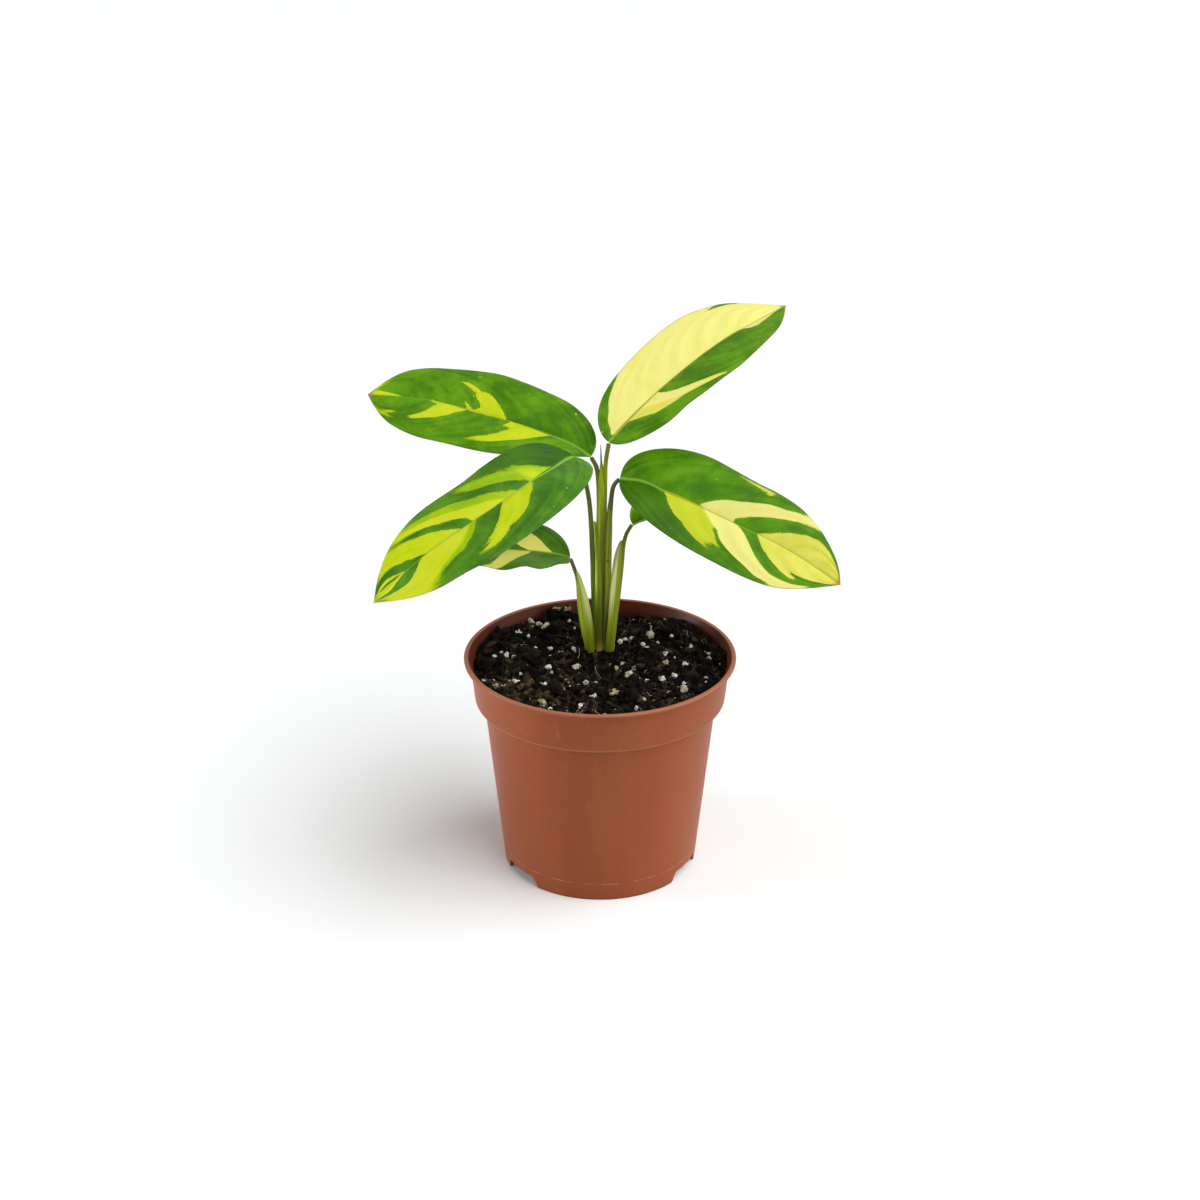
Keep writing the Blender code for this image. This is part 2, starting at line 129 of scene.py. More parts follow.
LEAVES = {
    "leaf_upper_right": dict(
        base=(4.0, 14.0, 193.5), length=106.0, wave=(0.5, 2.4, 0.1),
        heading=(37, 35, 30), climb=(39, 26, 10), roll=(-17, -17, -16),
        fold=(11, 10, 8), left=(20.5, 0.42, 0.5), right=(21.0, 0.5, 0.5),
        trim_left=(1, 1, 0.97, 0.97, 1, 1, 1, 1, 0.97, 0.76, 0.6),
        trim_right=(1, 1, 1, 0.95, 1, 1, 1, 0.98, 0.98, 1.04, 1.05),
        rib=(0, 0, 0.4, 0.6, 0.9, 1.1, 1.2, 1.2, 1.4, 0.8, 0),
        greens=((0.048, 0.162, 0.003), (0.13, 0.315, 0.01)), tip_tint=(0.3, 0.33, 0.04),
        patches=(
            (CREAM, (3, -17), (5, -32), (7.5, -55), (10.5, -62), (15.5, -82), (24, -95),
             (32, -110), (BEYOND, -110), (BEYOND, 12), (93, 20), (87, 32), (82, 33), (79, 25),
             (76.5, 12), (74, 6.5), (45, 5.5), (29, 3), (5, 3)),
            (GREEN, (70, -86), (76, -87), (82, -92), (88, -105), (79, -105), (74, -94)),
            (BUFF, (10.5, 0), (13, 15), (15.5, 30), (18, 42), (20.5, 55), (25, 62), (29, 69),
             (34, 71), (40, 79), (46, 87), (55, 97), (50, 83), (46, 75), (41, 62), (37, 52),
             (34, 42), (31, 25), (29, 0)),
            (CREAM, (20, 0), (21, 15), (24, 30), (26.5, 42), (30, 55), (33, 66), (38, 70),
             (50, 88), (41, 62), (34, 42), (31, 25), (29, 0)),
        ),
    ),
    "leaf_upper_left": dict(
        base=(-4.0, 14.0, 187.0), length=107.0, wave=(0.4, 1.8, 0.3),
        heading=(150, 162, 166), climb=(20, 9, -3), roll=(21, 25, 29),
        fold=(10, 3, 3), left=(24.0, 0.55, 1.0), right=(23.5, 0.52, 0.51),
        trim_left=(1, 1, 1, 1, 1, 1, 1, 1, 0.98, 1, 1),
        trim_right=(1, 1, 0.98, 0.93, 0.93, 0.96, 0.93, 0.89, 0.92, 1, 1),
        rib=(0, 0.9, 0, -0.5, -1.0, -1.1, -0.4, 0, 0, 0, 0),
        greens=((0.046, 0.162, 0.001), (0.128, 0.32, 0.005)), tip_tint=(0.25, 0.25, 0.08),
        patches=(
            (LIME, (19, 0), (21, -13), (24, -33), (28, -50), (33, -63), (40, -75), (46, -79.5),
             (50, -77), (47, -71), (42, -60), (38, -45), (35.2, -30), (36.5, -25.5), (38.2, -24.5),
             (37.8, -15), (36.8, -7), (39, -4), (30, -2)),
            (LIME, (39, -5), (41, 5), (44, 21), (47, 31), (50, 40), (54, 44), (58, 55), (62, 63),
             (62.6, 57), (59, 47), (55.7, 38), (56, 29), (53, 19), (51.2, 10), (52.5, 0),
             (54.5, -2), (57.5, 10), (58.3, 7), (57.2, -3), (55.5, -8), (45, -7)),
            (LIME, (56, -7), (60, -22), (64, -37), (69, -49), (77.5, -63), (78, -55), (73.5, -42),
             (71.5, -25), (69.2, -9), (72.5, -2), (72.7, 3), (68, -1), (62, -3)),
            (LIME, (85, 2), (90, 10), (93.5, 20), (95.5, 34), (97.5, 60), (99, 110), (BEYOND, 110),
             (BEYOND, -5), (90, 0)),
            (LIME, (85.5, -56), (89, -66), (92, -82), (95.5, -100), (93.5, -100), (90.5, -88),
             (86.5, -83), (89.5, -77)),
        ),
    ),
    "leaf_lower_left": dict(
        base=(-11.0, 9.6, 188.5), length=123.7, wave=(0.4, 2.1, 0.6),
        heading=(254, 230, 205, 194), climb=(18, -12, -27, -47), roll=(20, 21, 25),
        fold=(9, 2, 1), left=(21.5, 0.55, 0.5), right=(19.5, 0.58, 0.5),
        trim_left=(1, 1, 1, 1, 1, 1, 1, 0.95, 1, 1, 0.9),
        trim_right=(1, 1, 1, 1, 1, 0.97, 0.98, 1, 1, 0.98, 0.9),
        rib=(0, -0.5, -1.0, -0.5, 0, 0, 0, 0, 0, 0, 0),
        greens=((0.036, 0.135, 0.005), (0.095, 0.262, 0.014)), tip_tint=(0.3, 0.42, 0.03),
        shade=(RIGHT, 0.85, 0.12, 0.4), wash=(0.03, (0.04, 0.04, 0.01)),
        patches=(
            (PALE_GREEN, (20, 0), (23.5, 13), (26.2, 31), (29.5, 45), (31.5, 57), (33.5, 56),
             (34.8, 62), (35.6, 55), (37.5, 65), (40, 67), (42.5, 75), (44, 74), (46.5, 84),
             (50, 88), (54.5, 95), (53, 87), (56, 90), (55, 85), (53, 73), (49, 60), (43, 45),
             (38, 29), (34.5, 15), (32, 0)),
            (FRESH_LIME, (22, 0), (25, 15), (28, 30), (31, 42), (33, 40), (32, 25), (31.5, 10),
             (31, 0)),
            (PALE_GREEN, (38, 0), (41, 13), (44, 25), (49, 40), (54, 50), (58, 62), (66, 74),
             (70, 80), (76, 90), (80, 110), (89, 110), (84, 88), (80, 75), (76, 65), (71, 55),
             (67, 40), (63, 30), (60, 22), (58.5, 12), (57, 0)),
            (YELLOW_GREEN, (44, 0), (48, 16), (54, 30), (60, 44), (67, 60), (74, 75), (80, 90),
             (84, 110), (89, 110), (83, 85), (74, 61), (69, 47), (63, 30), (59.5, 18), (57.5, 0)),
            (LIME, (62, 0), (66, 16), (70, 30), (75, 45), (78.5, 57), (81.5, 72), (85, 86),
             (88.5, 110), (97, 110), (95.5, 78), (92, 62), (88.5, 45), (85, 27), (81, 12), (76, 0)),
            (LIME, (31, 0), (34.5, -19), (37.5, -30), (40, -42), (44, -54), (47.5, -61),
             (50.5, -62), (53, -71), (56, -78), (60, -80), (63, -77), (59.5, -71), (58.5, -60),
             (55, -50), (52, -36), (49, -20), (46.5, -7), (45, 0)),
            (PALE_GREEN, (56, 0), (58.5, -15), (60.5, -27), (63, -37), (66, -50), (70, -55),
             (75, -67), (79, -82), (85, -110), (97, -110), (96, -60), (92, -53), (87, -45),
             (83, -25), (80, -8), (78, 0)),
            (YELLOW_GREEN, (59, 0), (62, -15), (66, -33), (71, -48), (76, -62), (81, -80),
             (87, -110), (102, -110), (99, -62), (96, -57), (92, -51), (87, -45), (83, -25),
             (80, -8), (78, 0)),
            (YELLOW_GREEN, (85, 0), (88, 10), (91, 27), (95, 42), (BEYOND, 40), (BEYOND, -35),
             (93, -30), (90, -14)),
            (GREEN, (87, 3), (90, 10), (94, 22), (97, 30), (95.5, 14), (90, 3)),
        ),
    ),
    "leaf_lower_right": dict(
        base=(8.5, 12.5, 177.5), length=106.0, wave=(0.45, 1.7, 0.85),
        heading=(-6, -20, -22), climb=(-10, -21, -30), roll=(-31, -34, -37),
        fold=(10, 4, 4), left=(22.0, 0.42, 0.37), right=(24.0, 0.46, 0.5),
        trim_left=(1, 1.05, 1.06, 1.03, 0.96, 0.93, 0.97, 1, 1, 1.03, 1.25),
        trim_right=(1, 1, 1, 1, 1, 1, 1, 1, 1, 0.92, 0.8),
        rib=(0, -1.3, 0.7, 1.4, 1.9, 1.8, 1.1, 0.4, 0, 0, 0),
        greens=((0.042, 0.155, 0.001), (0.11, 0.295, 0.004)), tip_tint=(0.4, 0.22, 0.02),
        shade=(RIGHT, 0.6, 0.15, 0.6), wash=(0.12, (0.04, 0.04, 0.01)),
        patches=(
            (YELLOW_GREEN, (18.5, 0), (21, 22), (23.5, 37), (26.5, 51), (31, 59), (34.5, 69),
             (40, 78), (45, 83), (45.2, 73), (46.2, 68), (49.8, 69), (47, 56), (44, 42),
             (44.5, 36), (43, 25), (40, 10), (38, 6)),
            (CREAM, (35, 0), (38, 16), (42, 31), (44.7, 37), (46, 41), (49, 56), (53, 65),
             (58, 73), (64, 80), (69, 90), (75, 93), (80, 110), (92, 110), (90, 88), (85, 86),
             (80, 79), (74, 73), (69, 62), (64, 47), (60, 32), (56, 17), (52, 8)),
            (PALE_YELLOW, (60.5, 4), (65, 26), (69, 38), (74, 50), (79, 62), (82, 69), (83.8, 69),
             (83, 61), (80.5, 55), (81, 51), (85, 57), (89, 63), (93, 66), (97, 75), (BEYOND, 75),
             (BEYOND, -30), (100, -56), (97, -74), (93, -82), (89, -84), (85, -79), (80, -63),
             (75, -45), (70, -28), (66, -13), (62, 0)),
            (CREAM, (34.5, 6), (37.5, -8), (40, -19), (44, -31), (49, -41), (54, -54), (60, -67),
             (66, -74), (72, -90), (78, -110), (86, -110), (80, -90), (75, -75), (70, -60),
             (65, -47), (60, -34), (55, -20), (51, -4), (50, 8)),
            (BUFF, (42, -95), (50, -90), (55, -90), (56.8, -82), (58, -87), (59, -94), (52, -96)),
        ),
    ),
    "leaf_small_left": dict(
        base=(-13.2, 14.0, 139.6), length=60.0, wave=(0.9, 2.6, 0.55),
        heading=(188, 192, 198), climb=(17, 5, -8), roll=(15, 13, 11),
        fold=(17, 14, 12), left=(18.5, 0.4, 0.5), right=(17.0, 0.38, 0.5),
        trim_left=(1, 0.76, 0.95, 1.16, 1.06, 1.1, 1.14, 1.1, 1.05, 1, 1),
        trim_right=(1, 1, 0.98, 0.97, 0.97, 0.97, 0.97, 0.97, 1, 1, 1),
        rib=(0, 0.7, 0.7, 0.6, 0.6, 0.5, 0.3, 0, 0, 0, 0),
        greens=((0.045, 0.15, 0.004), (0.12, 0.28, 0.02)), tip_tint=(0.2, 0.25, 0.05),
        # Painted light: this wash lightens the pale patches where the blade above shades them.
        wash=(0.8, (1.0, 0.93, 0.2)),
        patches=(
            (CREAM, (12, 6), (17, 20), (21, 36), (26, 53), (33, 72), (42, 85), (47, 80), (44, 50),
             (40, 23), (36, 12), (31, 5)),
            (BUFF, (29, 4), (32, -15), (36, -35), (40, -48), (45, -62), (50, -75), (55, -87),
             (60, -95), (66, -110), (75, -110), (70, -95), (64, -78), (60, -60), (56, -42),
             (52, -20), (50, -5), (48.5, 5)),
            (BUFF, (55, 4), (62, 40), (70, 75), (78, 80), (74, 40), (70, 4)),
            (BUFF, (66, 0), (71, -30), (80, -75), (88, -70), (84, -30), (80, 0)),
        ),
    ),
    "leaf_small_right": dict(
        base=(14.2, 17.4, 154.4), length=56.0, wave=(0.4, 1.9, 0.2),
        heading=(22, 22, 18), climb=(22, 14, 3), roll=(-8, -8, -8),
        fold=(28, 24, 18), left=(12.5, 0.45, 0.5), right=(12.5, 0.45, 0.5),
        # These greens are painted lighter, as light, because the blade lies in the shade of a
        # larger one.
        greens=((0.2, 0.48, 0.008), (0.36, 0.66, 0.02)), tip_tint=(0.2, 0.3, 0.03),
        patches=(
            (LIME, (32, 0), (40, 35), (52, 70), (56, 66), (50, 35), (44, 0)),
            (LIME, (50, 0), (57, -35), (70, -75), (74, -70), (68, -30), (63, 0)),
        ),
    ),
}

# The finer marks on a blade.
VEIN_ON_GREEN = (0.24, 0.42, 0.04)
VEIN_ON_PALE = (0.66, 0.68, 0.06)
SEAM = (0.16, 0.30, 0.008)
RIB_ON_GREEN = (0.24, 0.44, 0.045)
RIB_ON_PALE = (0.34, 0.36, 0.03)
RIM_ON_GREEN = (0.07, 0.11, 0.045)
RIM_ON_PALE = ((0.42, 0.46, 0.08), (0.36, 0.27, 0.05))
SPECK = (0.62, 0.72, 0.42)
UNDERSIDE = (0.22, 0.31, 0.12)

# Where the stalks and sheaths enter the soil.
FOOT = 89.3

# green: a stalk's main colour. neck_tint: its colour under the blade, over the length neck.
# stations: x, y, z, half width across and half depth, from the soil to the blade.
# A LOW pair of heights is where the colour of the foot begins to give way and where it ends.
STALK_SIDES = 28
STALK_STEPS = 14
STALK_RIBS = 7
STALK_RIB = 0.035
STALK_LOW = (94.0, 112.0)
STALK_FOOT = ((0.34, 0.33, 0.07), (0.42, 0.26, 0.11))
STALKS = {
    "stalk_upper_right": dict(
        green=(0.22, 0.29, 0.012), neck_tint=(0.15, 0.18, 0.02), neck=10.0,
        stations=(
            (1.5, 16.2, FOOT, 1.3, 1.3), (1.5, 15.9, 112.0, 1.2, 1.2),
            (1.6, 15.2, 140.0, 1.05, 1.05), (2.0, 15.0, 162.0, 1.0, 1.0),
            (2.2, 14.7, 176.0, 0.95, 0.95), (2.5, 14.3, 184.5, 0.95, 0.95),
            (3.7, 13.9, 192.9, 0.95, 0.9),
        ),
    ),
    "stalk_upper_left": dict(
        green=(0.22, 0.28, 0.012), neck_tint=(0.075, 0.085, 0.02), neck=11.0,
        stations=(
            (-1.6, 16.2, FOOT, 1.3, 1.3), (-1.3, 16.2, 112.0, 1.2, 1.2),
            (-0.9, 16.2, 140.0, 1.1, 1.1), (-0.5, 15.8, 162.0, 1.05, 1.0),
            (-0.7, 15.4, 173.5, 1.0, 1.0), (-1.5, 15.0, 181.5, 1.0, 0.95),
            (-3.6, 14.1, 186.5, 0.9, 0.9),
        ),
    ),
    "stalk_lower_left": dict(
        green=(0.1, 0.15, 0.008), neck_tint=(0.065, 0.08, 0.025), neck=24.0,
        stations=(
            (-1.8, 13.2, FOOT, 1.3, 1.3), (-2.5, 13.1, 112.0, 1.2, 1.2),
            (-3.3, 13.3, 140.0, 1.1, 1.1), (-3.9, 13.6, 156.0, 1.05, 1.05),
            (-4.9, 13.6, 168.0, 1.0, 1.0), (-7.0, 12.4, 178.5, 0.95, 0.95),
            (-10.6, 10.0, 187.6, 0.9, 0.9),
        ),
    ),
    "stalk_lower_right": dict(
        green=(0.14, 0.175, 0.01), neck_tint=(0.075, 0.09, 0.028), neck=14.0,
        stations=(
            (1.7, 13.2, FOOT, 1.3, 1.3), (2.8, 13.5, 112.0, 1.2, 1.2), (3.6, 13.8, 138.0, 1.1, 1.1),
            (4.2, 14.0, 155.0, 1.0, 1.0), (4.9, 13.9, 168.0, 1.0, 1.0),
            (5.9, 13.5, 173.8, 0.95, 0.95), (8.1, 12.7, 177.1, 0.9, 0.9),
        ),
    ),
    "spear_leaf": dict(
        green=(0.42, 0.52, 0.02), neck_tint=(0.05, 0.03, 0.03), neck=10.0,
        stations=(
            (0.0, 19.0, FOOT, 1.2, 1.2), (0.2, 18.7, 112.0, 1.1, 1.1), (0.4, 18.4, 140.0, 1.0, 1.0),
            (0.7, 17.8, 162.0, 0.9, 0.9), (0.7, 17.3, 176.0, 0.65, 0.65),
            (0.5, 17.1, 184.5, 0.4, 0.4), (0.3, 17.0, 191.5, 0.12, 0.12),
        ),
    ),
    "stalk_small_left": dict(
        green=(0.2, 0.24, 0.008), neck_tint=(0.085, 0.09, 0.02), neck=8.0,
        stations=(
            (-4.9, 11.3, FOOT, 1.15, 1.0), (-5.6, 11.4, 97.0, 1.15, 1.05),
            (-7.1, 11.6, 105.0, 1.15, 1.05), (-8.4, 12.0, 113.0, 1.1, 1.05),
            (-9.2, 12.8, 122.0, 1.05, 1.0), (-9.9, 13.4, 129.5, 0.95, 0.9),
            (-11.1, 13.8, 134.0, 0.85, 0.8), (-12.9, 14.0, 139.2, 0.8, 0.75),
        ),
    ),
    "stalk_small_right": dict(
        green=(0.2, 0.27, 0.02), neck_tint=(0.19, 0.23, 0.03), neck=9.0,
        stations=(
            (4.9, 11.3, FOOT, 1.15, 1.0), (5.3, 11.4, 98.0, 1.15, 1.05),
            (6.6, 11.8, 111.0, 1.15, 1.05), (8.0, 12.4, 122.5, 1.1, 1.0),
            (9.4, 13.6, 136.0, 1.05, 1.0), (10.2, 14.6, 145.0, 0.95, 0.9),
            (11.6, 15.8, 150.4, 0.85, 0.8), (14.0, 17.3, 154.2, 0.8, 0.75),
        ),
    ),
}

# Sheaths: papery or green wings in front of the stalks, from the soil to a free point.
# papery: the shares across between which green turns pale, where the pale begins and the top.
# greens: the colours of the left edge, the middle and the right side of a green sheath.
# stations: the x of the left and of the right edge, y and z.
SHEATH_STEPS = 12
SHEATH_COLUMNS = 26
SHEATH_THICK = 0.22
SHEATH_BOW = 0.28
SHEATH_BACK = 0.6
SHEATH_RIDGES = 5
SHEATH_RIDGE = 0.05
SHEATH_TOP = (150.0, 176.0)
# The green sheaths are painted darker low on the bundle, as the shade under the blades, fading out
# between these heights.
SHEATH_SHADE_LOW = (108.0, 132.0)
SHEATH_PAINTED_SHADE = (0.05, 0.052, 0.006)
SHEATH_LOW = (92.0, 103.0)
SHEATH_FOOT = ((0.5, 0.43, 0.06), (0.54, 0.34, 0.10))
SHEATH_BANDS = (0.0, 0.16, 0.36, 0.62, 1.0)
SHEATH_SPOT = (0.02, 0.02, 0.008)
# The papery sheaths are painted dark green low down, as the shade at the foot of the bundle.
PAPERY_SHADE_LOW = (92.0, 112.0)
PAPERY_PAINTED_SHADE = (0.085, 0.105, 0.006)
PAPERY_CREAM = ((0.47, 0.50, 0.13), (0.76, 0.77, 0.35))
PAPERY_GREEN = ((0.20, 0.25, 0.008), (0.34, 0.41, 0.02))
PAPERY_TIP = (0.30, 0.36, 0.10)
SHEATHS = {
    "sheath_small_left": dict(
        papery=(0.36, 0.7, 113.0, 133.0),
        stations=(
            (-6.0, -2.6, 10.0, FOOT), (-6.6, -2.5, 10.1, 97.0), (-8.2, -2.8, 10.2, 105.0),
            (-9.4, -3.7, 10.6, 113.0), (-10.2, -5.1, 11.4, 120.5), (-10.5, -6.9, 12.1, 126.5),
            (-10.7, -8.5, 12.6, 131.0), (-11.0, -9.8, 12.9, 133.6),
        ),
    ),
    "sheath_small_right": dict(
        papery=(0.7, 0.3, 117.0, 147.0),
        stations=(
            (1.8, 5.6, 10.0, FOOT), (2.2, 6.2, 10.1, 98.0), (3.4, 7.4, 10.4, 111.0),
            (4.3, 8.9, 11.1, 122.5), (5.1, 10.0, 12.1, 133.0), (6.3, 10.4, 13.0, 141.0),
            (7.7, 10.2, 13.4, 145.4), (8.9, 9.6, 13.6, 148.0),
        ),
    ),
    "sheath_left": dict(
        greens=((0.46, 0.56, 0.05), (0.24, 0.31, 0.014), (0.17, 0.22, 0.01)),
        stations=(
            (-2.9, 1.3, 11.6, FOOT), (-2.6, 1.2, 11.6, 104.0), (-2.3, 0.9, 11.7, 122.0),
            (-2.2, 0.3, 11.9, 138.0), (-2.4, -0.8, 12.2, 148.0), (-2.8, -1.9, 12.6, 157.5),
        ),
    ),
    "sheath_right": dict(
        greens=((0.13, 0.14, 0.008), (0.26, 0.32, 0.03), (0.16, 0.2, 0.01)),
        stations=(
            (-0.4, 3.5, 11.9, FOOT), (0.4, 4.3, 11.9, 108.0), (1.5, 4.9, 12.0, 126.0),
            (1.8, 5.2, 12.2, 144.0), (2.5, 5.4, 12.6, 157.0), (3.9, 5.0, 13.0, 168.5),
        ),
    ),
    "sheath_middle": dict(
        greens=((0.34, 0.45, 0.015), (0.2, 0.24, 0.012), (0.12, 0.14, 0.008)),
        stations=(
            (-1.7, 2.6, 13.6, FOOT), (-1.8, 2.8, 13.4, 112.0), (-1.9, 3.0, 13.2, 140.0),
            (-1.7, 3.1, 13.2, 156.0), (-1.2, 2.7, 13.5, 167.0), (-0.6, 2.0, 13.9, 176.0),
            (0.0, 1.2, 14.4, 183.5),
        ),
    ),
}

# The pot repeats the part's own values, with finer edges.
POT_SEGMENTS = 540
POT_HEIGHT = 100.0
LIP_RADIUS = 60.0
LIP_INNER_RADIUS = 58.0
LIP_UNDERSIDE = 98.4
BAND_TOP_RADIUS = 57.3
BAND_BOTTOM_RADIUS = 55.5
BAND_BOTTOM = 80.2
BAND_SLOPE = (BAND_TOP_RADIUS - BAND_BOTTOM_RADIUS) / (LIP_UNDERSIDE - BAND_BOTTOM)
WALL_TOP_RADIUS = 51.7
WALL_BOTTOM_RADIUS = 43.5
WALL = 1.1
WAIST_HEIGHT = 44.0
EDGE = 0.4
STEP_ROUND = 0.9
BAND_ROUND = 0.6
LIP_ROUND = 0.7
INNER_ROUND = 0.5
FOOT_RING = 1.4
FOOT_HEIGHT = 5.5
INSIDE_STEP = 1.2
SOIL_MARK = 93.0
SOIL_WEAR = 0.4
FILLET = 1.0
FILLET_TOP = 7.5
LINE_HEIGHT = 8.0
LINE_DEPTH = 0.13
NOTCH_ANGLES = (-54.5, 62.5, 184.0)
NOTCH_HALF_WIDTH_LOW = 11.6
NOTCH_HALF_WIDTH_HIGH = 8.6
NOTCH_TOP = 5.0
POT_SHARP = 50  # in degrees: edges that turn by more than this stay sharp

# The floor of the pot's own mesh is a ledge. The plate with the holes laps over it a little.
PLATE_TOP = 6.6
PLATE_SEGMENTS = 120
PLATE_SHARP = 40
PLATE_LAP = 0.2
PLATE_THINNER = 0.1
LEDGE = 5.0
DRAIN_SEGMENTS = 40
DRAIN_RADIUS = 3.6
DRAIN_CIRCLE = 29.0
DRAIN_COUNT = 6

TERRACOTTA = ((0.238, 0.056, 0.018), (0.275, 0.071, 0.025))
POT_GRAIN = (0.42, 0.14, 0.07)
POT_SCUFF = (0.52, 0.24, 0.15)
POT_SPECK = (0.16, 0.05, 0.03)
POT_RUBBED = (0.50, 0.20, 0.11)
POT_FOOT_SHADOW = (0.10, 0.03, 0.015)
POT_INSIDE_SHADE = (0.07, 0.014, 0.005)
EDGE_HIGHLIGHT = (0.44, 0.175, 0.10)
SHADED_INSIDE = 0.9

# The soil's top, as in the part, under clods and crumbs. A swell and the grain have a height
# and a size, clods have a crest between the two, and the noise is cut at SLICE.
SOIL_ANGLES = 360
SOIL_RINGS = 120
SOIL_LEVEL = 93.6
SOIL_GAP = 0.25
SOIL_BELOW_LIP = 0.5
SOIL_SIDE = (PLATE_TOP + 0.3, 9.0, 44.0, 79.5, 81.6, 88.0)
SOIL_FOOT_INSET = 1.2
SOIL_SWELL = (2.6, 11.0)
SOIL_CLODS = ((3.4, 0.35, 5.2), (2.4, 0.3, 2.6))
SOIL_GRAIN = (1.0, 1.2)
SOIL_SLICE = 3.0
GRAIN_REACH = 55.2
GRAIN_BELOW_LIP = 0.2
SOIL_LUMPS = (
    # centre x, centre y, reach, height
    (-18.0, 48.0, 8.0, 1.6), (33.0, 36.0, 13.0, 3.0), (52.0, 6.0, 14.0, 1.6),
    (-47.0, 16.0, 14.0, 3.2), (9.0, 50.0, 9.0, -3.0), (-4.0, -14.0, 12.0, -1.2),
)

# The soil swells a little round the foot of the stalks, and no loose grain lies there.
CROWN = (0.0, 14.6)
CROWN_REACH = 8.0
CROWN_HEIGHT = 1.2
CROWN_CLEAR = (8.5, 6.5)

# Where the soil is browner with fibres.
FIBROUS_MIDDLE = (-30.0, -20.0)
FIBROUS_REACH = 20.0
FIBROUS_SHARE = 0.8
FIBROUS = (0.13, 0.082, 0.042)
DRY_PEAT = (0.035, 0.022, 0.012)

# Grains that are placed one by one: x, y, size and how light each is.
BITS = (
    (-24.8, 39.0, 2.3, 0.8), (-28.0, 41.5, 1.4, 1.0), (-32.0, 44.0, 1.6, 0.9),
    (-10.4, -1.5, 1.9, 0.5), (22.5, 27.0, 2.1, 0.3), (19.0, 16.5, 1.6, 0.9), (21.0, 14.0, 1.2, 1.0),
    (9.0, 21.7, 1.3, 0.9), (13.2, -15.0, 2.1, 0.5), (16.0, -12.0, 1.5, 0.8),
    (36.0, -25.0, 2.2, 0.2), (33.5, -23.0, 1.2, 0.9), (-47.0, 6.0, 1.6, 1.0),
    (-41.0, -19.0, 1.9, 0.4), (-35.0, -8.0, 1.2, 1.0), (-8.3, -41.0, 1.7, 0.9),
    (6.8, -42.6, 1.4, 0.8), (-21.0, -44.0, 1.2, 0.9), (49.0, 6.0, 1.5, 0.9), (37.5, -2.6, 1.2, 0.9),
    (26.0, 22.0, 1.0, 1.0),
)

# The block of soil that stands against the wall at the back left, and its dry crust.
LUMP_X, LUMP_Y = -18.0, 48.8
LUMP = (
    (LUMP_X, LUMP_Y, 4.9, 0.1), (LUMP_X + 3.2, LUMP_Y + 0.5, 3.6, 0.0),
    (LUMP_X - 3.2, LUMP_Y - 0.6, 3.4, 0.1),
)
CRUST = tuple((LUMP_X + k * 1.9, LUMP_Y - 1.3, 1.4, 0.4) for k in (-1.6, -0.7, 0.1, 1.0, 1.8))

# Each kind of grain: its darkest and lightest colour and its roughness.
GRAIN_LOOKS = {
    "crumb": ((0.0003, 0.0003, 0.0002), (0.012, 0.0085, 0.0055), 0.85),
    "chip": ((0.0005, 0.0004, 0.0003), (0.056, 0.035, 0.021), 0.85),
    "perlite": ((0.45, 0.44, 0.38), (0.85, 0.84, 0.80), 0.75),
    "husk": ((0.22, 0.17, 0.08), (0.55, 0.47, 0.29), 0.75),
    "bit": ((0.26, 0.20, 0.10), (0.78, 0.74, 0.62), 0.75),
    "fibre": ((0.06, 0.036, 0.018), (0.5, 0.42, 0.28), 0.8),
}

# Scattered pieces: name, kind, how many or which places, fineness of the mesh, least and
# greatest size, least and greatest flatness, lumpiness, how far each stands out, seed.
# CLUSTERED counts lie singly and in small groups.
CLUSTERED = {"perlite", "husks"}
SCATTERED = (
    ("soil_crumbs", "crumb", 1500, 2, (0.35, 1.9), (0.45, 0.95), 1.1, -0.1, 3),
    ("soil_clods", "crumb", 130, 3, (1.4, 4.2), (0.6, 0.95), 1.3, -0.25, 14),
    ("soil_chips", "chip", 300, 2, (0.8, 4.2), (0.18, 0.45), 0.8, 0.05, 8),
    ("perlite", "perlite", 125, 3, (0.35, 1.5), (0.6, 1.0), 0.9, 0.2, 5),
    ("husks", "husk", 46, 3, (0.7, 2.1), (0.4, 0.9), 0.9, 0.25, 12),
    ("soil_bits", "bit", BITS, 4, None, (0.5, 0.85), 0.6, 0.35, 31),
    ("soil_lump", "crumb", LUMP, 5, None, (0.8, 0.95), 0.7, -0.12, 40),
    ("lump_crust", "husk", CRUST, 4, None, (0.35, 0.6), 0.8, 9.0, 41),
)

# Above 1, MOSTLY_SMALL makes small grains the commoner ones. Loose grains keep within SOIL_RIM,
# and groups and fibres begin within INNER_RIM. PEATS colours the fill by the height of its clods:
# brown on the crests and near black in the hollows, partly the peat's own colour and partly
# painted highlight and painted shade.
MOSTLY_SMALL = 2.2
GRAIN_TILT = 0.6
GRAIN_LUMPS = 1.6
FAR_NOISE = 99
SOIL_RIM = 53.5
INNER_RIM = 51.0
GROUP_SIZES = (1, 1, 1, 2, 4)
GROUP_SPREAD = 1.6
PEATS = (
    (0.38, (0.0004, 0.0003, 0.0003)), (0.53, (0.0035, 0.0026, 0.0018)),
    (0.62, (0.03, 0.019, 0.011)), (0.74, (0.16, 0.105, 0.06)),
)

# Twigs and root hairs. They turn back beyond FIBRE_RIM.
FIBRE_COUNT = 70
FIBRE_SIDES = 6
FIBRE_STEPS = 12
FIBRE_LENGTH = (3.0, 11.0)
FIBRE_WIDTH = (0.09, 0.2)
FIBRE_ARCH = 0.35
FIBRE_TURN = 0.35
FIBRE_TAPER = 0.7
FIBRE_RIM = 54
FIBRE_SEED = 21

# The camera stands in front of the plant and looks down on it, by CAMERA_DOWN degrees.
CAMERA_PLACE = (0.0, -0.829, 0.500)
CAMERA_DOWN = 24.295
CAMERA_LENS = 62.58
CAMERA_SENSOR = 36.0

